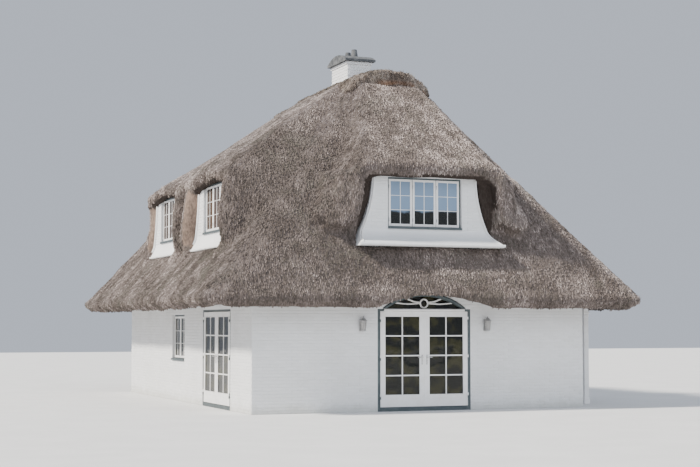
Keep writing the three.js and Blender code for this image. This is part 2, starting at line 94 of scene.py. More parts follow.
nodes = frame["nodes"]
bpy.context.view_layer.update()
print(len(nodes), "pieces in the model, from", size_before[0], "to", size_before[1])

# %% [markdown]
# ## Sizes
# Added pieces have to land on the model to the millimetre. Their places could be
# measured from its meshes, but a few named numbers say more. So these are the driving
# dimensions of the model, and later cells work everything out from them.

# %% Driving dimensions
WIDTH, DEPTH = 7.4, 10.4
DOOR_HALF, DOOR_HEAD, DOOR_POST = 1.04, 2.07, 0.06
LEAF_FACE, LEAF_THICK = 0.004, 0.046
LEAF_TOP, LEAF_BOTTOM = 2.02, 0.09
STILE, BOTTOM_RAIL = 0.095, 0.23
RUNNING_GAP = 0.005
SIDE_DOOR = 2.73
FAN_HALF, FAN_RISE, FAN_RIM = 0.9, 0.3, 0.045
WINDOW_HALF, WINDOW_SILL, WINDOW_TOP = 0.55, 0.93, 1.98
WINDOW_RIM, WINDOW_SET = 0.065, 0.06
DORMER_FACE, DORMER_BASE = -0.05, 3.33
DORMER_HALF, DORMER_FLARE, DORMER_CURVE = 1.18, 0.43, 1.9
SKIRT_TOP, SKIRT_EDGE = 3.69, 0.07
END_SKIRT, SIDE_SKIRT = 0.42, 0.13
DORMER_SHOULDER, DORMER_FLARE_HEIGHT = 4.72, 1.4
DORMER_WINDOW_HALF, DORMER_SILL, DORMER_WINDOW_TOP = 0.83, 3.7, 4.76
# Places along the left facade, where x grows towards the front.
LEFT_DORMERS = [2.7, -1.1]
CHIMNEY_WIDTH, CHIMNEY_DEPTH, CHIMNEY_Y, CHIMNEY_TOP = 0.57, 1.0, -1.1, 7.8
LAMP_OUT, LAMP_Z = 1.39, 1.64
ROOT = "house"


def facade(x, y, quarter_turns):
    """The frame of a wall: its face at y = 0, outside at -y, x along it."""
    return Matrix.Translation((x, y, 0)) @ Matrix.Rotation(quarter_turns * math.pi / 2, 4, "Z")


FRONT = facade(0, -DEPTH / 2, 0)
BACK = facade(0, DEPTH / 2, 2)
LEFT = facade(-WIDTH / 2, 0, -1)
RIGHT = facade(WIDTH / 2, 0, 1)
# Each dormer has its name, its facade, its middle and how far its foot stands out.
DORMERS = [
    ("front_dormer", FRONT, 0.0, END_SKIRT), ("back_dormer", BACK, 0.0, END_SKIRT),
    ("left_dormer_front", LEFT, LEFT_DORMERS[0], SIDE_SKIRT),
    ("left_dormer_rear", LEFT, LEFT_DORMERS[1], SIDE_SKIRT),
]
print("four facades and", len(DORMERS), "dormers")

# %% [markdown]
# ## Node trees in a few words
# Finishes and repeats are trees of nodes joined by links. Written out, every node
# takes several lines, and the formula behind them is lost. So a Wire holds one
# socket. Arithmetic on it adds one node each time, and `node` adds any other kind:
# its type, its settings, and values or wires for its sockets.

# %% Wires
class Wire:
    """A socket of a node tree that can be calculated with."""

    def __init__(self, tree, socket):
        self.tree = tree
        self.socket = socket

    def node(self, kind, inputs, out=0, **settings):
        made = self.tree.nodes.new(kind)
        for name, value in settings.items():
            setattr(made, name, value)
        for key, value in inputs.items():
            if isinstance(value, Wire):
                self.tree.links.new(value.socket, made.inputs[key])
            else:
                made.inputs[key].default_value = value
        return Wire(self.tree, made.outputs[out]) if len(made.outputs) else None

    def maths(self, operation, *terms):
        return self.node("ShaderNodeMath", dict(enumerate(terms)), operation=operation)

    def __add__(self, other):
        return self.maths("ADD", self, other)

    def __sub__(self, other):
        return self.maths("SUBTRACT", self, other)

    def __rsub__(self, other):
        return self.maths("SUBTRACT", other, self)

    def __mul__(self, other):
        return self.maths("MULTIPLY", self, other)

    def __truediv__(self, other):
        return self.maths("DIVIDE", self, other)

    def __rtruediv__(self, other):
        return self.maths("DIVIDE", other, self)

    __radd__ = __add__
    __rmul__ = __mul__

    def between(self, low, high):
        """0 below low, 1 above high and a soft step from one to the other."""
        ends = {0: self, 1: low, 2: high, 3: 0.0, 4: 1.0}
        return self.node("ShaderNodeMapRange", ends, interpolation_type="SMOOTHSTEP")

    def stretch(self, scale):
        return self.node("ShaderNodeVectorMath", {0: self, 1: scale}, operation="MULTIPLY")

    def noise(self, scale, detail=3.0, roughness=0.6):
        inputs = {"Vector": self, "Scale": scale, "Detail": detail, "Roughness": roughness}
        return self.node("ShaderNodeTexNoise", inputs)

    def axis(self, index):
        return self.node("ShaderNodeSeparateXYZ", {0: self}, out=index)

    def blend(self, low, high):
        """The colour low where this wire is 0 and high where it is 1."""
        inputs = {0: self, 6: low, 7: high}
        return self.node("ShaderNodeMix", inputs, out=2, data_type="RGBA")


print("wires ready")

# %% Colours and finishes
def grey(value, warmth=0.0):
    """A near-grey colour, warmer above 0 and cooler below."""
    return (value * (1 + warmth), value, value * (1 - warmth), 1.0)


def colour(red, green, blue):
    return (red, green, blue, 1.0)


class Finish:
    """A material that starts at the object coordinates of its piece."""

    def __init__(self, name):
        self.material = bpy.data.materials.new(name)
        self.material.use_nodes = True
        self.tree = self.material.node_tree
        self.tree.nodes.clear()
        coordinates = self.tree.nodes.new("ShaderNodeTexCoord")
        self.place = Wire(self.tree, coordinates.outputs["Object"])

    def attribute(self, name):
        return self.place.node("ShaderNodeAttribute", {}, out="Fac", attribute_name=name)

    def done(self, inputs, relief=None, depth=0.002):
        sockets = dict(inputs)
        if relief is not None:
            bump = {"Strength": 1.0, "Distance": depth, "Height": relief}
            sockets["Normal"] = self.place.node("ShaderNodeBump", bump)
        shader = self.place.node("ShaderNodeBsdfPrincipled", sockets)
        self.place.node("ShaderNodeOutputMaterial", {"Surface": shader})
        return self.material


print("finishes can be made")

# %% [markdown]
# ## Finishes of the roof
# Old reed is grey where rain washes it, darker where it stays damp, and greenish where
# moss starts. A picture laid over the roof would repeat itself and blur close by. So
# every colour is mixed from noise in the piece's own coordinates. Bundles and twigs
# also carry a number called tone, random for each of them, that picks how light they
# are. Broad noise then shifts that number over whole patches of the roof.

# One patch left of the front dormer is painted shade: the slope there, between the hip and the side
# hood, lies in shade.
# %% Colours of reed and heather
DARK_REED = colour(0.085, 0.07, 0.062)
MID_REED = colour(0.238, 0.197, 0.182)
PALE_REED = colour(0.55, 0.478, 0.448)
GREEN_REED = colour(0.15, 0.148, 0.122)
SHADED_REED, LIT_REED = colour(0.022, 0.016, 0.013), colour(0.36, 0.255, 0.195)
DARK_TWIG = colour(0.05, 0.04, 0.034)
MID_TWIG = colour(0.16, 0.13, 0.112)
PALE_TWIG = colour(0.36, 0.31, 0.27)
RUST_TWIG = colour(0.23, 0.12, 0.065)
# The middle of a patch of painted shade left of the front dormer, and how far it fades.
SHADE_SPOT, SHADE_SPOT_NEAR, SHADE_SPOT_FAR = (-2.7, -4.5, 4.4), 0.6, 3.6
print("reed from", DARK_REED[:3], "to", PALE_REED[:3])

# %% Weather and painted shade
def weathered_and_shaded(finish, tone, dark, middle, pale, moss):
    """Tone picks the colour of each bundle; broad patches darken and turn green, and painted shade
    darkens a patch left of the front dormer.
    """
    damp = 1.0 - finish.place.axis(2).between(2.0, 6.0)
    broad = finish.place.noise(0.5, 3.0).between(0.4, 0.62)
    patch = finish.place.noise(2.4, 4.0, 0.7).between(0.42, 0.66)
    clump = finish.place.stretch((5.0, 5.0, 1.8)).noise(1.0, 3.0).between(0.3, 0.7)
    blotch = finish.place.stretch((1.7, 1.7, 1.1)).noise(1.0, 3.0, 0.6).between(0.38, 0.62)
    ends = {0: finish.place, 1: SHADE_SPOT}
    away = finish.place.node("ShaderNodeVectorMath", ends, out=1, operation="DISTANCE")
    # Painted shade: the reed is darker near this spot, where the slope between the hip and the side
    # hood lies in shade.
    painted_shade = 1.0 - away.between(SHADE_SPOT_NEAR, SHADE_SPOT_FAR)
    tone = tone * 0.5 + clump * 0.28 + blotch * 0.28 - damp * 0.18 - painted_shade * 0.26
    mixed = (tone - broad * 0.1).between(0.0, 0.48).blend(dark, middle)
    mixed = (tone - patch * 0.16).between(0.4, 0.86).blend(mixed, pale)
    return (patch * (broad * 0.35 + 0.1)).blend(mixed, moss)


# The darkening round this spot is painted shade.
print("weather darkens the roof within", SHADE_SPOT_FAR, "m of", SHADE_SPOT)

# %% Reed and heather
def reed_bundles():
    """The loose bundles: weathered, with fine dark streaks along them."""
    finish = Finish("thatch_reeds")
    tone = finish.attribute("tone")
    mixed = weathered_and_shaded(finish, tone, DARK_REED, MID_REED, PALE_REED, GREEN_REED)
    streak = finish.place.stretch((60.0, 60.0, 9.0)).noise(1.0, 2.0)
    mixed = (streak.between(0.3, 0.7) * 0.35).blend(mixed, DARK_REED)
    return finish.done({"Base Color": mixed, "Roughness": 0.95, "Specular IOR Level": 0.15})


def reed_body():
    """The close-packed reed under the loose bundles, seen at the cut edges."""
    finish = Finish("thatch_body")
    streak = finish.place.stretch((26.0, 26.0, 9.0)).noise(1.0, 4.0, 0.75)
    patch = finish.place.noise(1.6, 3.0).between(0.35, 0.7)
    shade = streak.between(0.35, 0.75).blend(DARK_REED, MID_REED)
    shade = (patch * 0.3).blend(shade, DARK_REED)
    recess = finish.attribute("shade")
    mixed = (recess.between(0.0, 1.0) * 0.8).blend(shade, SHADED_REED)
    sunlit = (recess * -1.0).between(0.0, 1.0) * (streak.between(0.3, 0.7) * 0.5 + 0.2)
    mixed = sunlit.blend(mixed, LIT_REED)
    sockets = {"Base Color": mixed, "Roughness": 0.97, "Specular IOR Level": 0.1}
    return finish.done(sockets, streak, 0.03)


def heather(name, tone_from_noise):
    """Dark twigs, with a rusty worn patch low at each end of the ridge."""
    finish = Finish(name)
    fine = finish.place.noise(26.0, 4.0, 0.75)
    tone = fine.between(0.3, 0.75) if tone_from_noise else finish.attribute("tone")
    mixed = weathered_and_shaded(finish, tone, DARK_TWIG, MID_TWIG, PALE_TWIG, GREEN_REED)
    along = finish.place.axis(1)
    end = along.maths("ABSOLUTE", along).between(3.2, 3.5)
    low = 1.0 - finish.place.axis(2).between(7.0, 7.12)
    worn = finish.place.noise(2.2, 2.0).between(0.42, 0.56)
    east = finish.place.axis(0).between(-0.45, -0.1)
    mixed = (end * low * worn * east * 0.75).blend(mixed, RUST_TWIG)
    sockets = {"Base Color": mixed, "Roughness": 0.95, "Specular IOR Level": 0.1}
    return finish.done(sockets, fine, 0.02)


REEDS, REED_BODY = reed_bundles(), reed_body()
TWIGS, HEATHER = heather("heather_twigs", False), heather("heather_body", True)
print("four roof finishes")

# %% [markdown]
# ## Finishes of the walls and the joinery
# The walls are brick under many coats of white paint: a little cloudy, and dirtier
# near the ground, where rain splashes. Wood, slate and metal are plainer, so one
# function mixes two near colours and lets the gloss vary a little, because an even
# gloss looks like plastic. Panes are dark with painted shade of the room behind them,
# and take a second tint with noise or above a height: a painted reflection, of leaves
# in the ground floor glass, of the sky high in the end dormers, and of sunlit reed low
# in the side dormers, whose glass is painted dark in the shade of the hood above.

# %% Painted walls
WHITE_PAINT = colour(0.80, 0.805, 0.815)
GREY_PAINT = colour(0.66, 0.665, 0.66)
SPLASH = colour(0.42, 0.42, 0.37)


def painted_wall(name, per_brick):
    finish = Finish(name)
    grain = finish.place.noise(45.0, 3.0)
    cloud = finish.place.noise(1.1, 4.0).between(0.4, 0.7)
    mixed = (cloud * 0.35).blend(WHITE_PAINT, GREY_PAINT)
    if per_brick:
        mixed = (finish.attribute("tone") * 0.35).blend(mixed, GREY_PAINT)
    height = finish.place.axis(2)
    ragged = finish.place.noise(5.0, 3.0) * 0.3
    splash = 1.0 - (height + ragged).between(0.12, 0.4)
    mixed = (splash * 0.5).blend(mixed, SPLASH)
    return finish.done({"Base Color": mixed, "Roughness": 0.8}, grain, 0.002)


WALL = painted_wall("painted_mortar", False)
BRICKS = painted_wall("painted_bricks", True)
print("two finishes for painted walls")

# %% Wood, slate and metal
def plain(name, low, high, roughness, scale=8.0, metallic=0.0):
    """A finish between two colours, with a little unevenness in its gloss."""
    finish = Finish(name)
    cloud = finish.place.noise(scale, 4.0)
    mixed = cloud.between(0.35, 0.7).blend(low, high)
    uneven = cloud * 0.16 + (roughness - 0.08)
    sockets = {"Base Color": mixed, "Roughness": uneven, "Metallic": metallic}
    return finish.done(sockets, cloud, 0.0005)


TIMBER = plain("white_gloss_timber", grey(0.86), grey(0.8, 0.01), 0.38)
FRAME_PAINT = plain("dark_frame_paint", colour(0.05, 0.068, 0.075), colour(0.08, 0.1, 0.105), 0.5)
SLATE = plain("cap_slate", colour(0.06, 0.064, 0.07), colour(0.15, 0.155, 0.16), 0.75, 9.0)
LAMP_METAL = plain("lamp_metal", grey(0.34), grey(0.46), 0.45, 20.0, 0.3)
STEEL = plain("handle_steel", grey(0.55), grey(0.62), 0.28, 30.0, 1.0)
print("five plain finishes")

# %% Floor boards
BOARD_WIDTH = 0.16


def boards():
    """Floor boards, each with its own tone, and dark joints."""
    finish = Finish("floor_boards")
    across = finish.place.axis(0) / BOARD_WIDTH
    number = across.maths("FLOOR", across)
    along = finish.place.stretch((0.0, 0.5, 0.0)).noise(1.0, 0.0)
    tone = number.maths("FRACT", number * 0.618 + along * 0.2)
    grain = finish.place.stretch((30.0, 1.5, 1.0)).noise(1.0, 3.0)
    mixed = (tone * 0.6 + grain * 0.4).blend(colour(0.2, 0.12, 0.07), colour(0.42, 0.29, 0.18))
    joint = across.maths("FRACT", across).between(0.0, 0.04)
    mixed = joint.blend(colour(0.03, 0.02, 0.015), mixed)
    return finish.done({"Base Color": mixed, "Roughness": 0.5}, grain, 0.001)


BOARDS = boards()
print("boards", BOARD_WIDTH, "m wide")

# %% Panes
def pane(name, low, high, change=None, soft=0.04, alpha=0.8, mirror=0.5):
    """Glass whose tint changes with noise, or at the height named change: painted shade and painted
    reflection in the window panes.
    """
    finish = Finish(name)
    ripple = finish.place.noise(3.5, 2.0)
    share = ripple.between(0.48, 0.6)
    if change is not None:
        height = finish.place.axis(2) + ripple * 0.2 - 0.1
        share = height.between(change - soft, change + soft)
    sockets = {"Base Color": share.blend(low, high), "Roughness": 0.05, "Alpha": alpha, "IOR": 1.5}
    sockets["Specular IOR Level"] = mirror
    return finish.done(sockets, ripple, 0.004)


# Painted light in the panes: the near-black is painted shade, of the room behind and under the side
# hoods; olive and sky blue are painted reflections of leaves and of the sky.
PAINTED_SHADE_PANE, LEAF_REFLECTION_PANE = colour(0.014, 0.015, 0.013), colour(0.042, 0.04, 0.019)
SKY_REFLECTION_PANE, WARM_REFLECTION_PANE = colour(0.24, 0.34, 0.48), colour(0.066, 0.043, 0.031)
GLASS = pane("window_glass", PAINTED_SHADE_PANE, LEAF_REFLECTION_PANE, mirror=0.3)
SKY_REFLECTION_GLASS = pane("dormer_glass", PAINTED_SHADE_PANE, SKY_REFLECTION_PANE, 4.08)
# Side dormers: warm brown low is a painted reflection of sunlit reed, near-black above 4.62 m is
# painted shade under the hood.
REFLECTION_AND_SHADE_GLASS = pane("sunlit_glass", WARM_REFLECTION_PANE, PAINTED_SHADE_PANE, 4.62, 0.4, alpha=0.92, mirror=0.12)
LAMP_GLASS = pane("lamp_glass", grey(0.5, 0.04), grey(0.4), alpha=0.5)
print("four kinds of glass")

# %% [markdown]
# ## The model's own pieces
# Walls, frames, floors, glass and door leaves already have their true shape in the
# model. They could be built again with more detail, but their edges are right, so
# they stay and only get a finish, which the ending of their name picks. The detail
# comes as pieces laid on them.

# %% Finish the model
BY_ENDING = [
    ("_glass", GLASS), ("_fanlight", GLASS), ("_floor", BOARDS), ("_frame", FRAME_PAINT),
    ("_leaf_left", TIMBER), ("_leaf_right", TIMBER), ("_leaf_front", TIMBER),
    ("_leaf_rear", TIMBER), ("chimney_cap", SLATE), ("wall_lamp_left", LAMP_METAL),
    ("wall_lamp_right", LAMP_METAL), ("ridge_cap", HEATHER), ("thatch", REED_BODY),
]


def finish_of(name):
    if name == "veranda_frame":
        return TIMBER
    if name.startswith("thatch_"):
        return REED_BODY
    if name.endswith("_dormer_glass"):
        return SKY_REFLECTION_GLASS
    if name.startswith("left_dormer") and name.endswith("_glass"):
        return REFLECTION_AND_SHADE_GLASS
    return next((finish for ending, finish in BY_ENDING if name.endswith(ending)), WALL)


for name, node in nodes.items():
    node.data.materials.clear()
    node.data.materials.append(finish_of(name))
print("finished", len(nodes), "pieces")

# %% [markdown]
# ## Making pieces
# Most small pieces of a house are boxes with softened edges, or turned. Cubes with a
# Bevel modifier would do, but hundreds of them are slow. So `block` builds a box and
# its chamfers in a mesh that holds many, and `turned` spins a profile. `settle` then
# gives the finished mesh its body and its finish.

# %% Objects
def linked(name, data):
    """A new object in the scene round a mesh, a lamp or a camera."""
    obj = bpy.data.objects.new(name, data)
    bpy.context.scene.collection.objects.link(obj)
    return obj


def settle(obj, finish, slot, body=ROOT):
    """Gives a finished object its one finish and the body it rides on; its slot is not used."""
    obj.data.materials.clear()
    obj.data.materials.append(finish)
    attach(obj, body)
    return obj


def from_bmesh(name, bm, place=None):
    """An object from a finished mesh, moved into the frame of a facade if one is given."""
    bmesh.ops.recalc_face_normals(bm, faces=bm.faces)
    mesh = bpy.data.meshes.new(name)
    bm.to_mesh(mesh)
    bm.free()
    if place is not None:
        mesh.transform(place)
    return linked(name, mesh)


print("pieces ride on", ROOT, "unless they say another body")

# %% Blocks
CHAMFER = 0.004


def block(bm, x, y, z, chamfer=CHAMFER):
    """A box with its edges cut off: three points at every corner."""
    spans = [sorted(x), sorted(y), sorted(z)]
    corner = {}
    for key in np.ndindex(2, 2, 2):
        for axis in range(3):
            point = []
            for other in range(3):
                inward = 0 if other == axis else chamfer * (1 - 2 * key[other])
                point.append(spans[other][key[other]] + inward)
            corner[key, axis] = bm.verts.new(point)
        bm.faces.new([corner[key, axis] for axis in range(3)])
    for axis in range(3):
        a, b = [other for other in range(3) if other != axis]
        for side in (0, 1):
            loop = []
            for sa, sb in ((0, 0), (1, 0), (1, 1), (0, 1)):
                key = [0, 0, 0]
                key[axis], key[a], key[b] = side, sa, sb
                loop.append(corner[tuple(key), axis])
            bm.faces.new(loop)
        for sa, sb in np.ndindex(2, 2):
            ends = []
            for side in (0, 1):
                key = [0, 0, 0]
                key[axis], key[a], key[b] = side, sa, sb
                ends.append(tuple(key))
            low, high = ends
            bm.faces.new([corner[low, a], corner[low, b], corner[high, b], corner[high, a]])


print("blocks have a chamfer of", CHAMFER, "m")

# %% Turned shapes
def turned(bm, centre, profile, axis="Z", steps=24):
    """A closed shape turned about an axis from (radius, along) pairs."""
    turn = {"Z": Matrix(), "Y": Matrix.Rotation(math.pi / 2, 4, "X")}[axis]
    place = Matrix.Translation(centre) @ turn
    rings = []
    for radius, along in profile:
        angles = [2 * math.pi * i / steps for i in range(steps)]
        points = [(radius * math.cos(t), radius * math.sin(t), along) for t in angles]
        rings.append([bm.verts.new(place @ Vector(point)) for point in points])
    for low, high in zip(rings, rings[1:]):
        for i in range(steps):
            j = (i + 1) % steps
            bm.faces.new([low[i], low[j], high[j], high[i]])
    bm.faces.new(rings[0])
    bm.faces.new(rings[-1])


print("profiles turn about Z, or about Y for what stands out of a wall")

# %% [markdown]
# ## Geometry nodes
# A thatched roof has tens of thousands of bundles and a wall has thousands of bricks.
# Python could place them one by one, but that is slow and hard to change. In a tree,
# the points or faces of a plain mesh carry copies of one small piece, turned and
# scaled by fields. The result becomes a mesh, and the modifier goes away again.

# %% Trees for repeats
def geometry_tree(name, sockets):
    tree = bpy.data.node_groups.new(name, "GeometryNodeTree")
    inputs = [("Geometry", "NodeSocketGeometry"), *sockets]
    for label, kind in inputs:
        tree.interface.new_socket(name=label, in_out="INPUT", socket_type=kind)
    tree.interface.new_socket(name="Geometry", in_out="OUTPUT", socket_type="NodeSocketGeometry")
    entry = tree.nodes.new("NodeGroupInput")
    return tree, [Wire(tree, entry.outputs[label]) for label, _ in inputs]


def close_tree(wire, finish):
    whole = wire.node("GeometryNodeRealizeInstances", {0: wire})
    coated = wire.node("GeometryNodeSetMaterial", {"Geometry": whole, "Material": finish})
    wire.node("NodeGroupOutput", {0: coated})


def plain_copy(name, base):
    """The evaluated mesh of an object as an object without modifiers."""
    graph = bpy.context.evaluated_depsgraph_get()
    mesh = bpy.data.meshes.new_from_object(base.evaluated_get(graph))
    base.modifiers.clear()
    mesh.name = name
    return linked(name, mesh)


def grow(name, base, tree, values):
    """What a tree makes of a plain object, which goes away."""
    modifier = base.modifiers.new(name, "NODES")
    modifier.node_group = tree
    for item in tree.interface.items_tree:
        if item.in_out == "INPUT" and item.name in values:
            modifier[item.identifier] = values[item.name]
    grown = plain_copy(name, base)
    bpy.data.objects.remove(base)
    return grown


print("trees can be built and grown")

# %% A tree for bundles on a slope
def copies_on(points, piece, rotation, size):
    source = piece.node("GeometryNodeObjectInfo", {0: piece})
    copies = {
        "Points": points,
        "Instance": Wire(piece.tree, source.socket.node.outputs["Geometry"]),
        "Rotation": rotation,
        "Scale": size,
    }
    return points.node("GeometryNodeInstanceOnPoints", copies)


def straw_tree(name, finish):
    """Copies of a bundle on faces, pointing down the slope, each a little astray."""
    sockets = [
        ("Density", "NodeSocketFloat"), ("Seed", "NodeSocketInt"), ("Piece", "NodeSocketObject"),
        ("Stray", "NodeSocketVector"), ("Smallest", "NodeSocketVector"),
    ]
    tree, (faces, density, seed, piece, stray, smallest) = geometry_tree(name, sockets)
    where = {"Mesh": faces, "Density": density, "Seed": seed}
    points = faces.node("GeometryNodeDistributePointsOnFaces", where, distribute_method="RANDOM")
    normal = Wire(tree, points.socket.node.outputs["Normal"])
    axes = {0: normal, 1: (0, 0, -1)}
    down = normal.node("FunctionNodeAxesToRotation", axes, primary_axis="Z", secondary_axis="X")
    opposite = stray.stretch((-1, -1, -1))
    astray = stray.node(
        "FunctionNodeRandomValue", {0: opposite, 1: stray, 8: 1}, data_type="FLOAT_VECTOR"
    )
    turn = astray.node("FunctionNodeEulerToRotation", {0: astray})
    turned_down = down.node("FunctionNodeRotateRotation", {0: down, 1: turn}, rotation_space="LOCAL")
    size = smallest.node(
        "FunctionNodeRandomValue", {0: smallest, 1: (1, 1, 1), 8: 2}, data_type="FLOAT_VECTOR"
    )
    bundles = copies_on(points, piece, turned_down, size)
    tone = seed.node("FunctionNodeRandomValue", {2: 0.0, 3: 1.0, 8: 3}, out=1, data_type="FLOAT")
    marked = bundles.node(
        "GeometryNodeStoreNamedAttribute",
        {0: bundles, 2: "tone", 3: tone},
        data_type="FLOAT",
        domain="INSTANCE",
    )
    close_tree(marked, finish)
    return tree


print("bundles can grow on any slope")

# %% [markdown]
# ## One soft body of reed
# Reed lies about 0.3 m thick over every change of slope, so a real thatched roof has
# no sharp line at its hips, hoods and lip. Bevels would round the flat solids one edge
# at a time. Here copies of all of them are fused on a fine grid and smoothed, which
# rounds every line in the same way. First come the copies, a little fatter than the
# solids, so that the thin gaps between them close.

# %% Copies of the model's thatch
THATCH = [
    "thatch_front", "thatch_back", "thatch_left", "thatch_right",
    "front_dormer_thatch", "back_dormer_thatch", "left_dormer_thatch",
]
FATTEN = 0.004
WELD = 1e-5


def joined_copy(names, fatten):
    """Copies of the model's pieces in one mesh, with their points moved outwards."""
    whole = bmesh.new()
    for name in names:
        mesh = nodes[name].data.copy()
        mesh.transform(nodes[name].matrix_world)
        part = bmesh.new()
        part.from_mesh(mesh)
        bmesh.ops.remove_doubles(part, verts=part.verts, dist=WELD)
        part.normal_update()
        for vertex in part.verts:
            vertex.co += vertex.normal * fatten
        part.to_mesh(mesh)
        part.free()
        whole.from_mesh(mesh)
        bpy.data.meshes.remove(mesh)
    return whole


print("to be fused:", ", ".join(THATCH))

# %% [markdown]
# ## Rolls of reed beside the dormers
# On a real roof the reed is bent round the sides of a dormer, so that its wall sits in
# a soft collar. A curve with a round section could follow such a path, but its width is
# hard to steer and its ends need caps. Here every two points of a path get one hull
# round two balls, and the fusing joins the hulls. A path has a few listed points,
# each (x, y, z, radius) in the frame of a facade, for one side of a dormer.

# %% Rolls
def ball_points():
    ball = bmesh.new()
    bmesh.ops.create_icosphere(ball, subdivisions=2, radius=1.0)
    points = [vertex.co.copy() for vertex in ball.verts]
    ball.free()
    return points


BALL = ball_points()


def roll(bm, place, points):
    """A soft sausage through (x, y, z, radius) points: balls joined two by two."""
    for ends in zip(points, points[1:]):
        part = bmesh.new()
        for x, y, z, radius in ends:
            middle = place @ Vector((x, y, z))
            for point in BALL:
                part.verts.new(middle + point * radius)
        hull = bmesh.ops.convex_hull(part, input=part.verts)
        inside = [item for item in hull["geom_interior"] if isinstance(item, bmesh.types.BMVert)]
        bmesh.ops.delete(part, geom=inside, context="VERTS")
        mesh = bpy.data.meshes.new("roll")
        part.to_mesh(mesh)
        part.free()
        bm.from_mesh(mesh)
        bpy.data.meshes.remove(mesh)


def mirrored(path, side, centre=0.0):
    return [(centre + side * x, y, z, radius) for x, y, z, radius in path]


print("a ball of", len(BALL), "points")

# %% Paths of the rolls
# The inner edge of the reed beside an end dormer, down to its flared foot.
EAR = [
    (1.57, -0.30, 4.84, 0.15), (1.58, -0.30, 4.50, 0.14), (1.60, -0.29, 4.20, 0.13),
    (1.68, -0.29, 3.96, 0.13), (1.88, -0.28, 3.82, 0.12), (2.16, -0.22, 3.78, 0.08),
]
# The fold behind that edge, and the sweep from it into the slope.
SLEEVE = [
    (1.78, -0.10, 4.66, 0.20), (1.84, -0.13, 4.38, 0.20), (1.93, -0.14, 4.10, 0.17),
    (2.10, -0.16, 3.92, 0.12),
]
SWEEP = [
    (1.90, 0.38, 4.68, 0.20), (1.98, 0.20, 4.44, 0.19), (2.10, 0.10, 4.20, 0.18),
    (2.28, -0.02, 3.96, 0.14),
]
# The reed that hides the lower corner of a side dormer, and the upright edge above it.
CHEEK = [
    (1.55, 0.02, 4.45, 0.15), (1.56, -0.02, 4.05, 0.16), (1.60, -0.08, 3.75, 0.18),
    (1.62, -0.16, 3.52, 0.17), (1.50, -0.24, 3.36, 0.13), (1.25, -0.28, 3.28, 0.09),
]
REVEAL = [
    (1.40, -0.14, 4.72, 0.16), (1.38, -0.18, 4.40, 0.16), (1.42, -0.21, 4.10, 0.17),
    (1.50, -0.23, 3.85, 0.17), (1.60, -0.25, 3.60, 0.16),
]
print("five paths, the longest with", len(EAR), "points")

# %% [markdown]
# ## Fusing, waves and sags
# The Remesh modifier puts one skin round all the copies, as fine as its grid, and
# Smooth rounds it. An old roof is never straight, so noise moves each point a few
# centimetres along its normal, the edge of the side hood waves, and the upper slope
# sags behind the ridge. All this could be sculpted by hand, but a formula can be
# repeated, read and changed.

# %% Fusing and roughening
GRID, SMOOTHING = 0.078, 6


def rounded(name, bm, grid, smoothing):
    """One smooth skin round everything in a mesh."""
    rough = from_bmesh(name + "_rough", bm)
    fuse = rough.modifiers.new("fuse", "REMESH")
    fuse.mode = "VOXEL"
    fuse.voxel_size = grid
    soften = rough.modifiers.new("soften", "SMOOTH")
    soften.factor = 0.5
    soften.iterations = smoothing
    soft = plain_copy(name, rough)
    bpy.data.objects.remove(rough)
    return soft


def roughen(mesh, layers):
    """Moves every point along its normal by layers of (scale, amount) noise."""
    points = [vertex.co.copy() for vertex in mesh.vertices]
    normals = [vertex.normal.copy() for vertex in mesh.vertices]
    moved = []
    for point, normal in zip(points, normals):
        push = sum(noise.noise(point * scale) * amount for scale, amount in layers)
        moved.extend(point + normal * push)
    mesh.vertices.foreach_set("co", moved)
    mesh.update()


print("a grid of", GRID, "m, smoothed", SMOOTHING, "times")

# %% Waves and sags
HOOD_WAVE, HOOD_REACH, HOOD_END = 0.055, 1.45, 1.3
HOOD_OUT, HOOD_LOW, HOOD_HIGH = (3.45, 3.75), (4.4, 4.7), (5.0, 5.6)
SAG = 0.27
SAG_ACROSS, SAG_ALONG, SAG_ABOVE = (0.1, 0.8, 1.0, 5.0), (-0.3, 2.8, 3.5, 4.6), (4.7, 5.3)


def step(value, low, high):
    """0 below low, 1 above high, smooth between."""
    share = min(max((value - low) / (high - low), 0.0), 1.0)
    return share * share * (3 - 2 * share)


def swell(value, start, full, fade, end):
    """Rises smoothly from start to full and falls again from fade to end."""
    return step(value, start, full) * (1 - step(value, fade, end))


def wave_side_hood(mesh):
    """The edge of the side hood dips between and beside its windows."""
    for vertex in mesh.vertices:
        x, y, z = vertex.co
        near = step(-x, *HOOD_OUT) * swell(z, *HOOD_LOW, *HOOD_HIGH)
        if near > 0:
            along = min(abs(y + centre) for centre in LEFT_DORMERS) / HOOD_REACH
            vertex.co.z += near * HOOD_WAVE * (math.cos(math.pi * min(along, HOOD_END)) - 1.0)


def sag_rear(mesh):
    """The upper left slope lies a little lower behind the middle of the ridge."""
    for vertex in mesh.vertices:
        x, y, z = vertex.co
        vertex.co.z -= SAG * swell(-x, *SAG_ACROSS) * swell(y, *SAG_ALONG) * step(z, *SAG_ABOVE)


print("the hood waves by", 2 * HOOD_WAVE, "m and the slope sags by", SAG, "m")

# %% [markdown]
# ## Cut edges beside the dormers
# Where reed is trimmed beside a window its cut ends show: nearly black in the shade of
# the hoods, warm brown where the sun reaches them. The dark could be left to the light
# alone, but soft light fills such hollows. So each point of the skin stores a number
# called shade, which the finish of the reed body reads. No bundles grow there.

# %% Cut edges
RECESS_HALF, RECESS_NEAR, RECESS_DEEP = 1.52, -0.36, 0.4
RECESS_TOP, SOFFIT_TOP = 4.7, 4.9
SOFFIT_TILT, TOP_TILT, MOST_OUTWARD = -0.6, 0.3, -0.1
SIDE_REACH, HOOD_FOOT, SHADY_TILT = 4.4, 4.6, -0.35


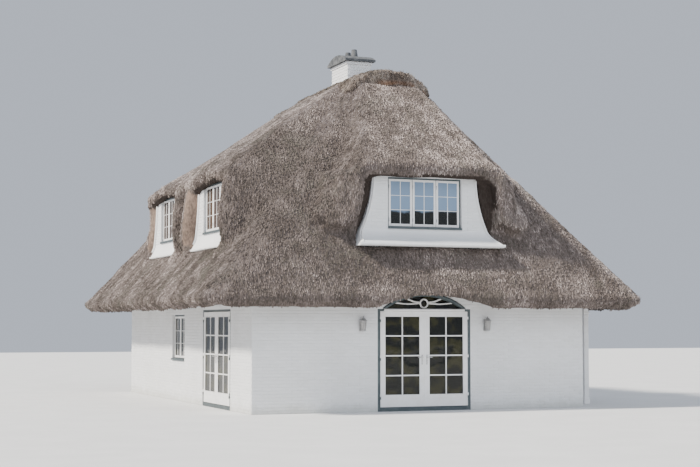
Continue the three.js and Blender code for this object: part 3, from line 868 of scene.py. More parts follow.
def in_recess(point, normal):
    """True on the cut reed beside the face of a dormer and under its hood."""
    highest = RECESS_TOP if normal.z > SOFFIT_TILT else SOFFIT_TOP
    if normal.z > TOP_TILT or not DORMER_BASE < point.z < highest:
        return False
    for _, place, centre, _ in DORMERS:
        x, y, _ = place.inverted() @ point
        inward = (place.inverted().to_3x3() @ normal).x * (centre - x)
        beside = abs(x - centre) < RECESS_HALF and RECESS_NEAR < y < RECESS_DEEP
        if beside and inward > MOST_OUTWARD:
            return True
    return False


def shade_of(point, normal):
    """1 in the dark recesses, -1 in the sunlit ones of the side dormers, or else 0."""
    if not in_recess(point, normal):
        return 0.0
    under_hood = point.z > HOOD_FOOT and normal.z < SHADY_TILT
    return 1.0 if under_hood or abs(point.y) >= SIDE_REACH else -1.0


def shade_recess(mesh):
    shade = mesh.attributes.new("shade", "FLOAT", "POINT")
    values = [shade_of(vertex.co, vertex.normal) for vertex in mesh.vertices]
    shade.data.foreach_set("value", values)


print("recesses reach", RECESS_HALF, "m from the middle of a dormer")

# %% Fuse the body
near_dormer, far_dormer = LEFT_DORMERS
skin_parts = joined_copy(THATCH, FATTEN)
for place in (FRONT, BACK):
    for side in (-1, 1):
        for path in (EAR, SLEEVE, SWEEP):
            roll(skin_parts, place, mirrored(path, side))
for centre in LEFT_DORMERS:
    for side in (-1, 1):
        roll(skin_parts, LEFT, mirrored(CHEEK, side, centre))
for centre, side in ((near_dormer, -1), (near_dormer, 1), (far_dormer, 1)):
    roll(skin_parts, LEFT, mirrored(REVEAL, side, centre))
skin = rounded("thatch_skin", skin_parts, GRID, SMOOTHING)
wave_side_hood(skin.data)
sag_rear(skin.data)
roughen(skin.data, [(1.1, 0.035), (4.5, 0.014)])
shade_recess(skin.data)
skin.data.shade_smooth()
print("thatch body:", len(skin.data.polygons), "faces")

# %% [markdown]
# ## Bundles of reed
# Seen close by, a thatched roof is no smooth skin but the butts of countless stalks
# that all point down the slope. Hair could draw them, but it is lost when a mesh is
# exported. A wedge with a three-sided butt stands for a few stalks, and the tree
# scatters such wedges over the skin, each a little astray and of its own size and
# tone. Every slope is a piece of its own, which keeps the pieces light enough.

# %% Where bundles grow
THATCH_TOP = 7.06
LOWEST_TILT, LIP_TILT = -0.5, -0.85
LIP_X, LIP_Y = 4.65, 5.83


def slope_of(mesh, facing, highest):
    """The faces of a mesh that face one way and aren't bare, as a scratch object."""
    part = bmesh.new()
    part.from_mesh(mesh)
    part.faces.ensure_lookup_table()
    away = []
    for face in part.faces:
        x, y, z = face.normal
        middle = face.calc_center_median()
        ways = {"front": -y, "back": y, "left": -x, "right": x}
        at_lip = abs(middle.x) > LIP_X or abs(middle.y) > LIP_Y
        lowest = LIP_TILT if at_lip else LOWEST_TILT
        bare = z < lowest or middle.z > highest or in_recess(middle, face.normal)
        if bare or max(ways, key=ways.get) != facing:
            away.append(face)
    bmesh.ops.delete(part, geom=away, context="FACES")
    scratch = bpy.data.meshes.new("slope")
    part.to_mesh(scratch)
    part.free()
    return linked("slope", scratch)


def cover(kind, mesh, facings, values, finish, slot, first_seed, highest):
    """Bundles on a mesh, as one piece for each way that its slopes face."""
    tree = straw_tree(kind + "_cover", finish)
    for seed, facing in enumerate(facings, first_seed):
        slope = slope_of(mesh, facing, highest)
        grown = grow(f"{kind}_{facing}", slope, tree, {**values, "Seed": seed})
        settle(grown, finish, slot)
        print(grown.name, len(grown.data.polygons), "faces")
    bpy.data.objects.remove(values["Piece"])


print("reed grows up to", THATCH_TOP, "m")

# %% Reed on every slope
BUNDLE_LENGTH, BUNDLE_WIDTH, BUNDLE_HEIGHT = 0.21, 0.03, 0.02
BUNDLES_PER_SQUARE_METRE = 880.0
BUTT_SHARE = 0.32


def bundle(name, length, width, height):
    """A wedge of reed: its tip dips into the roof, its three-sided butt stands proud."""
    bm = bmesh.new()
    tip = bm.verts.new(((BUTT_SHARE - 1) * length, 0, -height))
    outline = ((-width / 2, -0.3 * height), (0, height), (width / 2, -0.3 * height))
    butt = [bm.verts.new((BUTT_SHARE * length, y, z)) for y, z in outline]
    for corners in ((tip, butt[0], butt[1]), (tip, butt[1], butt[2]), butt):
        bm.faces.new(corners)
    return from_bmesh(name, bm)


reed_values = {
    "Density": BUNDLES_PER_SQUARE_METRE,
    "Piece": bundle("reed_bundle", BUNDLE_LENGTH, BUNDLE_WIDTH, BUNDLE_HEIGHT),
    "Stray": (0.25, 0.16, 0.3),
    "Smallest": (0.5, 0.6, 0.5),
}
facings = ("front", "back", "left", "right")
cover("reeds", skin.data, facings, reed_values, REEDS, "thatch", 0, THATCH_TOP)
settle(skin, REED_BODY, "thatch")
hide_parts(*THATCH)

# %% [markdown]
# ## Heather on the ridge
# Reed can't be bent over a ridge, so the gap at the top is closed with a thick cap of
# heather. It is rounded, sagged and roughened like the slopes, so that it follows
# them. Its twigs are shorter than reed and stray more, which makes the ragged edge.

# %% Ridge
CAP_FATTEN, CAP_GRID = 0.01, 0.05
TWIG_LENGTH, TWIG_WIDTH, TWIG_HEIGHT = 0.2, 0.025, 0.018
TWIGS_PER_SQUARE_METRE, TWIG_SEED, HEATHER_TOP = 620.0, 7, 9.0
cap = rounded("ridge_heather", joined_copy(["ridge_cap"], CAP_FATTEN), CAP_GRID, SMOOTHING)
sag_rear(cap.data)
roughen(cap.data, [(2.5, 0.05), (9.0, 0.03)])
cap.data.shade_smooth()
twig_values = {
    "Density": TWIGS_PER_SQUARE_METRE,
    "Piece": bundle("twig", TWIG_LENGTH, TWIG_WIDTH, TWIG_HEIGHT),
    "Stray": (0.4, 0.35, 0.7),
    "Smallest": (0.5, 0.6, 0.6),
}
facings = ("left", "right", "front", "back")
cover("twigs", cap.data, facings, twig_values, TWIGS, "heather", TWIG_SEED, HEATHER_TOP)
settle(cap, HEATHER, "heather")
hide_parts("ridge_cap")

# %% [markdown]
# ## Painted bricks
# Under the paint the bricks still show as a soft relief in a running bond. A brick
# pattern in the finish would be quicker, but it stays flat at a slant and ignores
# openings. So shallow bricks are laid. Every course is probed along the wall with
# rays, and its bricks stop at openings and edges. Each one stands a few millimetres
# proud of the wall and is turned by a hair, so that the wall isn't too even.

# %% Finding wall with rays
BRICK_LENGTH, BRICK_HEIGHT, JOINT = 0.228, 0.054, 0.012
COURSE = BRICK_HEIGHT + JOINT
PROUD = 0.005
PROBE_STEP, PROBE_HALF = 0.01, BRICK_HEIGHT * 0.4
RAY_START, SAME_FACE = 1.0, 0.004


def wall_finder(names, place):
    """A test for wall at (x, z) with its face at a given depth, in a facade."""
    inward = place.inverted()
    trees = []
    for name in names:
        mesh = nodes[name].data.copy()
        mesh.transform(inward @ nodes[name].matrix_world)
        points = [vertex.co.copy() for vertex in mesh.vertices]
        trees.append(BVHTree.FromPolygons(points, [tuple(p.vertices) for p in mesh.polygons]))
        bpy.data.meshes.remove(mesh)

    def is_wall(x, z, face):
        for tree in trees:
            start = Vector((x, face - RAY_START, z))
            hit = tree.ray_cast(start, Vector((0, 1, 0)), RAY_START + 0.005)[0]
            if hit is not None and abs(hit.y - face) < SAME_FACE:
                return True
        return False

    return is_wall


def spans_of(is_wall, z, reach, face):
    """The stretches of wall along one course, as (start, end)."""
    found, start = [], None
    for i in range(math.ceil((reach[1] - reach[0]) / PROBE_STEP) + 2):
        x = reach[0] + i * PROBE_STEP
        inside = is_wall(x, z - PROBE_HALF, face) and is_wall(x, z + PROBE_HALF, face)
        if inside and start is None:
            start = x
        if not inside and start is not None:
            found.append((start, x - PROBE_STEP))
            start = None
    return found


print("a course is", COURSE, "m high")

# %% Bricks of a course
SHORTEST_BRICK = 0.04
TILTS = (0.003, 0.004, 0.003)


def bricks_in(span, row):
    """(start, end) of the bricks of one course, cut at both ends of the span."""
    pitch = BRICK_LENGTH + JOINT
    shift = pitch / 2 * (row % 2)
    first = math.floor((span[0] - shift) / pitch)
    last = math.ceil((span[1] - shift) / pitch)
    for i in range(first, last + 1):
        start = max(i * pitch + shift, span[0])
        end = min(i * pitch + shift + BRICK_LENGTH, span[1])
        if end - start > SHORTEST_BRICK:
            yield start, end


def course_bricks(names, place, reach, heights, face=0.0):
    """Centre, size and turn of every brick of one wall."""
    is_wall = wall_finder(names, place)
    turn = place.to_euler()
    low, high = heights
    for row in range(math.floor(low / COURSE), math.ceil(high / COURSE)):
        z = row * COURSE + COURSE / 2
        for span in spans_of(is_wall, z, reach, face):
            for start, end in bricks_in(span, row):
                centre = place @ Vector(((start + end) / 2, face - PROUD / 2, z))
                angles = [turn[axis] + random.gauss(0, TILTS[axis]) for axis in range(3)]
                yield centre, (end - start, PROUD * 2, BRICK_HEIGHT), angles


print("a brick is", BRICK_LENGTH, "by", BRICK_HEIGHT, "m")

# %% One brick and its tree
CHAMFER_ALONG, CHAMFER_UP = 0.02, 0.07


def one_brick():
    """The outer face of a unit brick and the four chamfers round it."""
    bm = bmesh.new()
    outer = [(-0.5, -0.5), (0.5, -0.5), (0.5, 0.5), (-0.5, 0.5)]
    along, up = 1 - 2 * CHAMFER_ALONG, 1 - 2 * CHAMFER_UP
    back = [bm.verts.new((x, 0.1, z)) for x, z in outer]
    face = [bm.verts.new((x * along, -0.5, z * up)) for x, z in outer]
    bm.faces.new(face)
    for i in range(4):
        j = (i + 1) % 4
        bm.faces.new([back[i], back[j], face[j], face[i]])
    return from_bmesh("brick", bm)


def masonry_tree(name, finish):
    """One brick on every point, turned and scaled as the point's attributes say."""
    tree, (points, piece) = geometry_tree(name, [("Piece", "NodeSocketObject")])
    size = points.node("GeometryNodeInputNamedAttribute", {0: "size"}, data_type="FLOAT_VECTOR")
    turn = points.node("GeometryNodeInputNamedAttribute", {0: "turn"}, data_type="FLOAT_VECTOR")
    rotation = turn.node("FunctionNodeEulerToRotation", {0: turn})
    close_tree(copies_on(points, piece, rotation, size), finish)
    return tree


print("a brick has five faces and no back")

# %% Bricks of several walls
BRICK_SEED = 4


def masonry(name, walls):
    """The bricks of several walls as one piece."""
    random.seed(BRICK_SEED)
    bricks = [brick for wall in walls for brick in course_bricks(*wall)]
    mesh = bpy.data.meshes.new(name)
    mesh.from_pydata([centre for centre, _, _ in bricks], [], [])
    for label, index in (("size", 1), ("turn", 2)):
        layer = mesh.attributes.new(label, "FLOAT_VECTOR", "POINT")
        layer.data.foreach_set("vector", [part for brick in bricks for part in brick[index]])
    tone = mesh.attributes.new("tone", "FLOAT", "POINT")
    tone.data.foreach_set("value", [random.random() for _ in bricks])
    brick = one_brick()
    laid = grow(name, linked(name, mesh), masonry_tree(name, BRICKS), {"Piece": brick})
    bpy.data.objects.remove(brick)
    settle(laid, BRICKS, "white_brick")
    print(name, len(bricks), "bricks")


print("bricks are laid with seed", BRICK_SEED)

# %% Lay the bricks of the walls
FRONT_WALLS = ["front_wall_left", "front_wall_right", "front_wall_over_door"]
LEFT_WALLS = ["left_wall_front", "left_wall_rear", "left_wall_over_door"]
WALL_TOP = 3.05
wide, deep = (-WIDTH / 2, WIDTH / 2), (-DEPTH / 2, DEPTH / 2)
masonry("ground_bricks", [
    (FRONT_WALLS, FRONT, wide, (0, WALL_TOP)),
    (["back_wall"], BACK, wide, (0, WALL_TOP)),
    (LEFT_WALLS + ["front_wall_left", "back_wall"], LEFT, deep, (0, WALL_TOP)),
    (["right_wall", "front_wall_right", "back_wall"], RIGHT, deep, (0, WALL_TOP)),
])

# %% Lay the bricks of the dormers and the chimney
DORMER_REACH, DORMER_TOP, PIECE_GAP = 1.8, 4.9, 0.0003
STACK_LOW = 6.9


def dormer_courses(name, place, centre):
    reach = (centre - DORMER_REACH, centre + DORMER_REACH)
    return [name + "_wall"], place, reach, (DORMER_BASE, DORMER_TOP), DORMER_FACE + PIECE_GAP


masonry("dormer_bricks", [dormer_courses(*dormer[:3]) for dormer in DORMERS])

STACK_SIDES = [
    (facade(0, CHIMNEY_Y - CHIMNEY_DEPTH / 2, 0), CHIMNEY_WIDTH / 2),
    (facade(0, CHIMNEY_Y + CHIMNEY_DEPTH / 2, 2), CHIMNEY_WIDTH / 2),
    (facade(-CHIMNEY_WIDTH / 2, CHIMNEY_Y, -1), CHIMNEY_DEPTH / 2),
    (facade(CHIMNEY_WIDTH / 2, CHIMNEY_Y, 1), CHIMNEY_DEPTH / 2),
]
masonry("chimney_bricks", [
    (["chimney_stack"], place, (-reach, reach), (STACK_LOW, CHIMNEY_TOP))
    for place, reach in STACK_SIDES
])

# %% [markdown]
# ## Windows
# Each light of a dark frame holds a white casement: two stiles, two rails, thin bars
# and small panes. The frames and their glass belong to the model, so a casement is
# laid over its light, and an outer pane covers the plain glass between the bars.
# Boxes with small chamfers catch enough light at this size, and all the casements of
# a window are one piece.

# %% Bars and rims
def grid_bars(bm, x, z, columns, rows, width, depth):
    """Bars that divide a light into equal panes; those across lie a little deeper."""
    for i in range(1, columns):
        middle = x[0] + (x[1] - x[0]) * i / columns
        block(bm, (middle - width / 2, middle + width / 2), depth, z)
    for i in range(1, rows):
        middle = z[0] + (z[1] - z[0]) * i / rows
        inner = (depth[0] + 0.003, depth[1] - 0.002)
        block(bm, x, inner, (middle - width / 2, middle + width / 2))


def rim(bm, x, z, width, depth, chamfer=CHAMFER):
    """Two stiles and two rails round a light; the lower rail is a little wider."""
    block(bm, (x[0], x[0] + width), depth, z, chamfer)
    block(bm, (x[1] - width, x[1]), depth, z, chamfer)
    across = (x[0] + width, x[1] - width)
    block(bm, across, depth, (z[0], z[0] + width * 1.15), chamfer)
    block(bm, across, depth, (z[1] - width, z[1]), chamfer)


print("bars and rims can be laid")

# %% Casements
SASH, SASH_PROUD, SASH_BEHIND, BAR = 0.044, 0.014, 0.05, 0.015
SHOW_RIM = 0.012
BAR_DEPTH, PANE_DEPTH = (0.003 - SASH_PROUD, 0.008), (-0.006, 0.003)
LAP = 0.002


def casements(name, place, centre, half_width, z, lights, set_back, rows):
    """White sashes with bars, and the panes between them, in every light."""
    bm, panes = bmesh.new(), bmesh.new()
    x0, x1 = centre - half_width, centre + half_width
    pitch = (x1 - x0 - WINDOW_RIM) / lights
    depth = (set_back - SASH_PROUD, set_back + SASH_BEHIND)
    over = WINDOW_RIM / 2 - SHOW_RIM / 2
    for i in range(lights):
        start = x0 + WINDOW_RIM + i * pitch
        x = (start - over, start + pitch - WINDOW_RIM + over)
        height = (z[0] + WINDOW_RIM - over * 0.3, z[1] - WINDOW_RIM + over)
        rim(bm, x, height, SASH, depth)
        inside_x = (x[0] + SASH - LAP, x[1] - SASH + LAP)
        inside_z = (height[0] + SASH, height[1] - SASH + LAP)
        grid_bars(bm, inside_x, inside_z, 2, rows, BAR, [set_back + at for at in BAR_DEPTH])
        block(panes, inside_x, [set_back + at for at in PANE_DEPTH], inside_z, 0.001)
    settle(from_bmesh(name + "_casements", bm, place), TIMBER, "white_timber")
    glass = finish_of(name + "_glass")
    settle(from_bmesh(name + "_outer_panes", panes, place), glass, "window_glass")


print("a sash is", SASH, "m wide and a bar", BAR, "m")

# %% Casement hinges
HINGE_RADIUS, HINGE_HALF, HINGE_PLACES = 0.007, 0.035, (0.18, 0.82)


def casement_hinges(name, place, centre, half_width, z, lights, set_back):
    """Two small knuckles on every casement."""
    bm = bmesh.new()
    pitch = (2 * half_width - WINDOW_RIM) / lights
    knuckle = [(HINGE_RADIUS, -HINGE_HALF), (HINGE_RADIUS, HINGE_HALF)]
    for i in range(lights):
        x = centre - half_width + WINDOW_RIM / 2 + i * pitch + SHOW_RIM
        for share in HINGE_PLACES:
            at = (x, set_back - SASH_PROUD - LAP, z[0] + (z[1] - z[0]) * share)
            turned(bm, at, knuckle, steps=10)
    settle(from_bmesh(name + "_hinges", bm, place), STEEL, "lamp_metal")


print(len(HINGE_PLACES), "hinges on a casement")

# %% Dress every window
GROUND_WINDOWS = [
    ("left_window", LEFT, -0.4), ("right_window_front", RIGHT, -2.4),
    ("right_window_rear", RIGHT, 0.9), ("back_window_east", BACK, -1.9),
    ("back_window_west", BACK, 1.9),
]
DORMER_SET = DORMER_FACE + WINDOW_SET
ROWS = 3
for name, place, centre in GROUND_WINDOWS:
    opening = (centre, WINDOW_HALF, (WINDOW_SILL, WINDOW_TOP), 2, WINDOW_SET)
    casements(name, place, *opening, ROWS)
    casement_hinges(name, place, *opening)
for name, place, centre, _ in DORMERS:
    opening = (centre, DORMER_WINDOW_HALF, (DORMER_SILL, DORMER_WINDOW_TOP), 3, DORMER_SET)
    casements(name, place, *opening, ROWS)
    casement_hinges(name, place, *opening)
print("casements in", len(GROUND_WINDOWS) + len(DORMERS), "windows")

# %% [markdown]
# ## Doors
# A glazed door has bars on both sides of its glass, a bead round it, a panel below, a
# strip over the meeting edge and a handle. The leaves come from the model and turn on
# its hinges, so every piece added here rides with the leaf that it sits on. The bars
# and beads of a leaf are one piece, and its metal is another, because each piece has
# one finish.

# %% Door leaves
LEAVES = [
    ("front_door_leaf_left", FRONT, 0.0, -1), ("front_door_leaf_right", FRONT, 0.0, 1),
    ("side_door_leaf_rear", LEFT, SIDE_DOOR, -1), ("side_door_leaf_front", LEFT, SIDE_DOOR, 1),
]
LEAF_HALF = DOOR_HALF - DOOR_POST - RUNNING_GAP
DOOR_BAR, BEAD, BEAD_PROUD, BEAD_BEHIND = 0.026, 0.016, 0.004, 0.012
PANEL_SIDE, PANEL_FOOT, PANEL_HEAD, PANEL_BEAD = 0.07, 0.05, 0.045, 0.014
COVER_STRIP, STRIP_PROUD = (-0.012, 0.02), 0.006
THIN_CHAMFER = 0.002


def leaf_bars(name, place, centre, side):
    """Glazing bars, beads, the panel below, and the strip over the meeting edge."""
    edges = sorted((centre + side * RUNNING_GAP, centre + side * LEAF_HALF))
    x = (edges[0] + STILE, edges[1] - STILE)
    z = (LEAF_BOTTOM + BOTTOM_RAIL, LEAF_TOP - STILE)
    through = (LEAF_FACE + BEAD_PROUD, LEAF_FACE + LEAF_THICK - BEAD_PROUD)
    bm = bmesh.new()
    grid_bars(bm, x, z, 2, 4, DOOR_BAR, through)
    round_x = (x[0] - BEAD_PROUD, x[1] + BEAD_PROUD)
    round_z = (z[0] - BEAD_PROUD, z[1] + BEAD_PROUD)
    rim(bm, round_x, round_z, BEAD, (LEAF_FACE - BEAD_PROUD, LEAF_FACE + BEAD_BEHIND), 0.003)
    panel_x = (edges[0] + PANEL_SIDE, edges[1] - PANEL_SIDE)
    panel_z = (LEAF_BOTTOM + PANEL_FOOT, LEAF_BOTTOM + BOTTOM_RAIL - PANEL_HEAD)
    panel_depth = (LEAF_FACE - BEAD_PROUD, LEAF_FACE + BEAD_PROUD)
    rim(bm, panel_x, panel_z, PANEL_BEAD, panel_depth, THIN_CHAMFER)
    if side > 0:
        strip = (centre + COVER_STRIP[0], centre + COVER_STRIP[1])
        depth = (LEAF_FACE - STRIP_PROUD, LEAF_FACE + 0.001)
        block(bm, strip, depth, (LEAF_BOTTOM, LEAF_TOP), THIN_CHAMFER)
    settle(from_bmesh(name + "_bars", bm, place), TIMBER, "white_timber", name)


print("a leaf is", round(LEAF_HALF - RUNNING_GAP, 3), "m wide")

# %% Handles
GRIP_IN, PLATE_HALF, PLATE_HEIGHT = 0.052, 0.018, (0.94, 1.14)
LEVER_Z, LEVER_HALF, LEVER_REACH = 1.09, 0.009, (-0.008, 0.105)
NECK = [(0.009, -0.024), (0.009, 0.024)]
KEYHOLE_Z, KEYHOLE = 0.985, [(0.009, -0.003), (0.007, 0.004)]


def leaf_handle(name, place, centre, side):
    """A plate, a lever on its neck and a keyhole ring below it."""
    metal = bmesh.new()
    grip = centre + side * GRIP_IN
    plate = (LEAF_FACE - 0.005, LEAF_FACE + 0.001)
    block(metal, (grip - PLATE_HALF, grip + PLATE_HALF), plate, PLATE_HEIGHT, THIN_CHAMFER)
    turned(metal, (grip, LEAF_FACE - 0.026, LEVER_Z), NECK, "Y", 16)
    lever = [grip + side * reach for reach in LEVER_REACH]
    lever_z = (LEVER_Z - LEVER_HALF, LEVER_Z + LEVER_HALF)
    block(metal, lever, (LEAF_FACE - 0.055, LEAF_FACE - 0.04), lever_z)
    turned(metal, (grip, LEAF_FACE - 0.006, KEYHOLE_Z), KEYHOLE, "Y", 12)
    settle(from_bmesh(name + "_handle", metal, place), STEEL, "lamp_metal", name)


for leaf in LEAVES:
    leaf_bars(*leaf)
    leaf_handle(*leaf)
print("dressed", len(LEAVES), "leaves")

# %% [markdown]
# ## Strips along a path
# Curved bars, arches and trims are one thin strip of wood bent along a line. Bending a
# modelled strip with a modifier stretches it where the line turns. So one tree sweeps
# a small rectangle along the edges of a mesh, and keeps its broad side facing out of
# the wall. It makes the fanlight, the arch over the door and the trim of the dormers.

# %% Swept strips
def strip_tree(name, finish):
    lengths = [("Across", "NodeSocketFloat"), ("Through", "NodeSocketFloat")]
    sockets = lengths + [("Facing", "NodeSocketVector")]
    tree, (path, across, through, facing) = geometry_tree(name, sockets)
    curve = path.node("GeometryNodeMeshToCurve", {0: path})
    direction = {"Curve": curve, "Normal": facing}
    aimed = curve.node("GeometryNodeSetCurveNormal", direction, mode="FREE")
    section = across.node(
        "GeometryNodeCurvePrimitiveQuadrilateral", {0: across, 1: through}, mode="RECTANGLE"
    )
    sweep = {"Curve": aimed, "Profile Curve": section, "Fill Caps": True}
    close_tree(aimed.node("GeometryNodeCurveToMesh", sweep), finish)
    return tree


STRIPS = strip_tree("strips", TIMBER)


def strips(name, place, paths, across, through, closed=False, finish=TIMBER, slot="white_timber"):
    """Strips along (x, y, z) paths of a facade, as one piece."""
    points, edges = [], []
    for path in paths:
        first = len(points)
        points += [place @ Vector(point) for point in path]
        edges += [(i, i + 1) for i in range(first, len(points) - 1)]
        if closed:
            edges.append((len(points) - 1, first))
    mesh = bpy.data.meshes.new(name)
    mesh.from_pydata(points, edges, [])
    facing = place.to_3x3() @ Vector((0, -1, 0))
    values = {"Across": across, "Through": through, "Facing": tuple(facing)}
    return settle(grow(name, linked(name, mesh), STRIPS, values), finish, slot)


print("strips have", len(STRIPS.nodes), "nodes in their tree")

# %% [markdown]
# ## Fanlight
# Over the front door a flat arch holds a round eye with two thin rays on each side.
# The model has the dark rim and the glass. The eye, the rays and the rail below are
# white strips, and a dark strip follows the brick arch outside the rim.

# %% Fanlight
ARC_STEPS = 28
FAN_FRONT, FAN_PROUD = 0.03, -0.004
EYE_Z = DOOR_HEAD + 0.115
EYE_RADIUS, EYE_STEPS = 0.085, 24
RAY_SHARES, RAY_SAG = (0.14, 0.3, 0.7, 0.86), 0.018
RIM_OUT, RAIL_DROP = 0.012, 0.02


def arc(half_width, rise, base, y):
    """A circular arch as (x, y, z) points, from right to left."""
    radius = (half_width**2 + rise**2) / (2 * rise)
    spread = math.asin(half_width / radius)
    angles = [spread - 2 * spread * i / ARC_STEPS for i in range(ARC_STEPS + 1)]
    return [(radius * math.sin(t), y, base + rise - radius + radius * math.cos(t)) for t in angles]


def eye():
    angles = [2 * math.pi * i / EYE_STEPS for i in range(EYE_STEPS)]
    return [(EYE_RADIUS * math.cos(t), FAN_FRONT, EYE_Z + EYE_RADIUS * math.sin(t)) for t in angles]


def ray(tip):
    """A path from the eye to the arch that sags a little half way."""
    away = Vector((tip[0], 0, tip[2] - EYE_Z)).normalized() * EYE_RADIUS
    root = (away.x, FAN_FRONT, EYE_Z + away.z)
    middle = tuple((Vector(root) + Vector(tip)) / 2 + Vector((0, 0, -RAY_SAG)))
    return [root, middle, tip]


arch = arc(FAN_HALF - FAN_RIM, FAN_RISE - FAN_RIM, DOOR_HEAD, FAN_FRONT)
rays = [ray(arch[round(share * ARC_STEPS)]) for share in RAY_SHARES]
border = arc(FAN_HALF + RIM_OUT, FAN_RISE + RIM_OUT, DOOR_HEAD, FAN_PROUD)
rail = [(side * FAN_HALF, FAN_PROUD, DOOR_HEAD - RAIL_DROP) for side in (-1, 1)]
strips("fanlight_circle", FRONT, [eye()], 0.024, 0.03, closed=True)
strips("fanlight_rays", FRONT, rays, 0.022, 0.028)
strips("fanlight_arch", FRONT, [border], 0.034, 0.05, finish=FRAME_PAINT, slot="dark_frame")
strips("fanlight_sill", FRONT, [rail], 0.045, 0.05)
print("fanlight with", len(rays), "rays")

# %% [markdown]
# ## Dormer trim
# The wall of a dormer widens towards its foot and leans out over the roof like a
# skirt. A board follows each curved edge, and another closes the foot. Both follow the
# two curves that the model uses: one for the half width at a height, one for how far
# the face stands out.

# %% Dormer trim
TRIM, TRIM_PROUD, TRIM_OUT = 0.075, 0.03, 0.008
TRIM_STEP, TRIM_POINTS = 0.05, 28
BOARD, BOARD_PROUD, BOARD_OUT, BOARD_Z = 0.085, 0.05, 0.012, DORMER_BASE + 0.035
BOARD_POINTS = 17


def dormer_half(z):
    drop = max(0.0, DORMER_SHOULDER - z) / DORMER_FLARE_HEIGHT
    return DORMER_HALF + DORMER_FLARE * drop**DORMER_CURVE


def skirt_depth(z, out):
    """How far the face of a dormer stands out at a height, in its facade."""
    share = min(max((SKIRT_TOP - z) / (SKIRT_TOP - DORMER_BASE - SKIRT_EDGE), 0.0), 1.0)
    return DORMER_FACE - out * share**2


def edge_path(centre, side, out):
    heights = [DORMER_BASE + TRIM_STEP + i * TRIM_STEP for i in range(TRIM_POINTS)]
    return [
        (centre + side * (dormer_half(z) - TRIM / 2), skirt_depth(z, out) - TRIM_OUT, z)
        for z in heights
    ]


def foot_path(centre, out):
    half_foot, middle = dormer_half(DORMER_BASE), (BOARD_POINTS - 1) / 2
    y = DORMER_FACE - out - BOARD_OUT
    return [(centre + half_foot * (i / middle - 1), y, BOARD_Z) for i in range(BOARD_POINTS)]


for name, place, centre, out in DORMERS:
    sides = [edge_path(centre, side, out) for side in (-1, 1)]
    strips(name + "_edge_trim", place, sides, TRIM, TRIM_PROUD)
    strips(name + "_base_board", place, [foot_path(centre, out)], BOARD, BOARD_PROUD)
print("trim on", len(DORMERS), "dormers")

# %% [markdown]
# ## Lanterns
# A small lantern hangs on each side of the front door. The model has its body, which
# is all that shows from afar. Close by it needs a glass with a cup below, a cap with a
# finial above, six thin bars and a back plate. Turned profiles suit the round pieces.

# %% Lanterns
LAMP_Y, LAMP_SIDES = -0.1, 6
LAMP_GLASS_SHAPE = [(0.045, 0.0), (0.064, 0.18)]
LAMP_CUP = [(0.03, -0.022), (0.052, -0.012), (0.052, 0.004)]
LAMP_CAP = [(0.07, 0.178), (0.082, 0.19), (0.03, 0.246)]
LAMP_FINIAL = [(0.008, 0.24), (0.017, 0.262), (0.008, 0.284)]
LAMP_BAR, LAMP_BAR_SIZE = ((0.046, 0.0), (0.066, 0.182)), 0.007
PLATE_WIDE, PLATE_THICK, PLATE_REACH = 0.052, 0.016, (-0.02, 0.22)


def lantern(side):
    x = side * LAMP_OUT
    centre = (x, LAMP_Y, LAMP_Z)
    name = "lantern_left" if side < 0 else "lantern_right"
    glass = bmesh.new()
    turned(glass, centre, LAMP_GLASS_SHAPE)
    settle(from_bmesh(name + "_glass", glass, FRONT), LAMP_GLASS, "window_glass")
    metal = bmesh.new()
    turned(metal, centre, LAMP_CUP)
    turned(metal, centre, LAMP_CAP)
    turned(metal, centre, LAMP_FINIAL, steps=14)
    plate_z = [LAMP_Z + reach for reach in PLATE_REACH]
    block(metal, (x - PLATE_WIDE, x + PLATE_WIDE), (-PLATE_THICK, 0.0), plate_z)
    settle(from_bmesh(name + "_metal", metal, FRONT), LAMP_METAL, "lamp_metal")
    bars = []
    for i in range(LAMP_SIDES):
        angle = 2 * math.pi * (i + 0.5) / LAMP_SIDES
        bars.append([
            (x + radius * math.cos(angle), LAMP_Y + radius * math.sin(angle), LAMP_Z + along)
            for radius, along in LAMP_BAR
        ])
    size = (LAMP_BAR_SIZE, LAMP_BAR_SIZE)
    strips(name + "_bars", FRONT, bars, *size, finish=LAMP_METAL, slot="lamp_metal")


for side in (-1, 1):
    lantern(side)
print("two lanterns")

# %% [markdown]
# ## Collars and bands
# A turned or boxed post has a wider foot and two mouldings below its beam, and a
# chimney has a course or two that stand out and throw off the rain. All of them are
# boxes a little wider than what they go round, given as (low, high, wider).

# %% Posts and chimney
POST, POST_OUT, POST_PLACES = 0.11, 0.72, (-4.1, 0.0, 4.1)
COLLARS = ((0.0, 0.14, 0.018), (1.93, 1.97, 0.012), (1.99, 2.03, 0.02))
BANDS = ((CHIMNEY_TOP - 0.07, CHIMNEY_TOP - 0.002, 0.03), (7.3, 7.42, 0.012))
BAND_CHAMFER = 0.008


def bands(bm, centre, half_x, half_y, levels):
    """Boxes round an upright of a given half width and depth."""
    x, y = centre
    for low, high, wider in levels:
        span_x = (x - half_x - wider, x + half_x + wider)
        span_y = (y - half_y - wider, y + half_y + wider)
        block(bm, span_x, span_y, (low, high), BAND_CHAMFER)


collars = bmesh.new()
for along in POST_PLACES:
    bands(collars, (WIDTH / 2 + POST_OUT, along), POST / 2, POST / 2, COLLARS)
settle(from_bmesh("post_collars", collars), TIMBER, "white_timber")

chimney_bands = bmesh.new()
bands(chimney_bands, (0.0, CHIMNEY_Y), CHIMNEY_WIDTH / 2, CHIMNEY_DEPTH / 2, BANDS)
settle(from_bmesh("chimney_bands", chimney_bands), BRICKS, "white_brick")
print("collars on", len(POST_PLACES), "posts and", len(BANDS), "bands on the chimney")

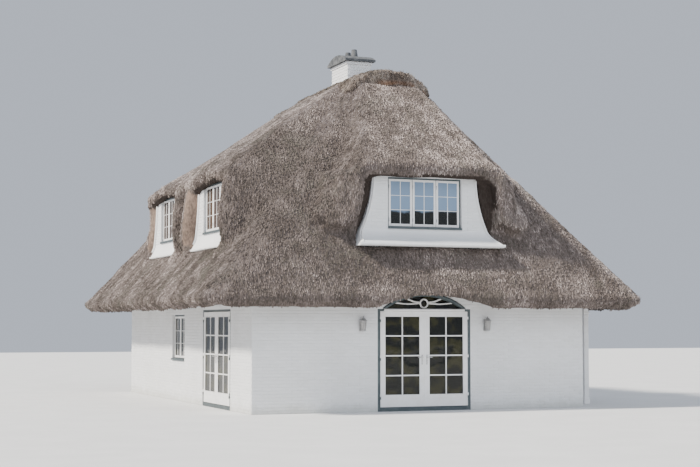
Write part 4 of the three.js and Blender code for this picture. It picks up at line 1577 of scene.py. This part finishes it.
# %% [markdown]
# ## Light, floor and camera
# A pale floor far wider than the house stands for a studio. One warm light comes from
# the left, as wide as a hazy sun, so that it reaches under the side hood and leaves
# soft shadows. A very wide cool one fills the front from behind the camera. Area lamps
# would do too, but their distance would matter, and a sun has only a direction.

# %% Floor and lights
FLOOR_REACH = 60.0
SUN_DIRECTION, SUN_STRENGTH, SUN_WIDTH = Vector((1.0, 0.0, -0.86)), 7.6, 6.0
FILL_DIRECTION, FILL_STRENGTH, FILL_WIDTH = Vector((0.0, 1.0, -0.6)), 1.2, 50.0
WARM_LIGHT, COOL_LIGHT = (1.0, 0.94, 0.84), (0.86, 0.92, 1.0)
SKY, SKY_STRENGTH = colour(0.80, 0.87, 1.0), 0.7


def floor():
    corners = [(-1, -1), (1, -1), (1, 1), (-1, 1)]
    mesh = bpy.data.meshes.new("floor")
    points = [(x * FLOOR_REACH, y * FLOOR_REACH, 0) for x, y in corners]
    mesh.from_pydata(points, [], [(0, 1, 2, 3)])
    mesh.materials.append(plain("pale_floor", grey(0.72), grey(0.76), 0.9, 1.0))
    return linked("floor", mesh)


def sun(name, direction, strength, tint, width):
    """A sun lamp; its width in degrees softens its shadows."""
    data = bpy.data.lights.new(name, "SUN")
    data.energy = strength
    data.color = tint
    data.angle = math.radians(width)
    lamp = linked(name, data)
    lamp.rotation_euler = direction.to_track_quat("-Z", "Y").to_euler()
    return lamp


floor()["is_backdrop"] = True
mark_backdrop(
    sun("sun", SUN_DIRECTION, SUN_STRENGTH, WARM_LIGHT, SUN_WIDTH),
    sun("sky_fill", FILL_DIRECTION, FILL_STRENGTH, COOL_LIGHT, FILL_WIDTH),
)
world = bpy.data.worlds.new("pale_sky")
world.use_nodes = True
world.node_tree.nodes["Background"].inputs["Color"].default_value = SKY
world.node_tree.nodes["Background"].inputs["Strength"].default_value = SKY_STRENGTH
bpy.context.scene.world = world
print("floor", 2 * FLOOR_REACH, "m wide, two lights and a pale sky")

# %% Camera
STATION = Vector((-12.2, -32.1, 1.75))
TARGET = Vector((-0.5, -2.3, 3.78))
LENS = 74
camera_data = bpy.data.cameras.new("camera")
camera_data.lens = LENS
camera = linked("camera", camera_data)
camera.location = STATION
camera.rotation_euler = (TARGET - STATION).to_track_quat("-Z", "Y").to_euler()
bpy.context.scene.camera = camera
print("camera at", tuple(STATION))

# %% Sizes before and after
size_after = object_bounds()
lists = [[list(map(float, corner)) for corner in size] for size in (size_before, size_after)]
print("with its details the house reaches from", size_after[0], "to", size_after[1])
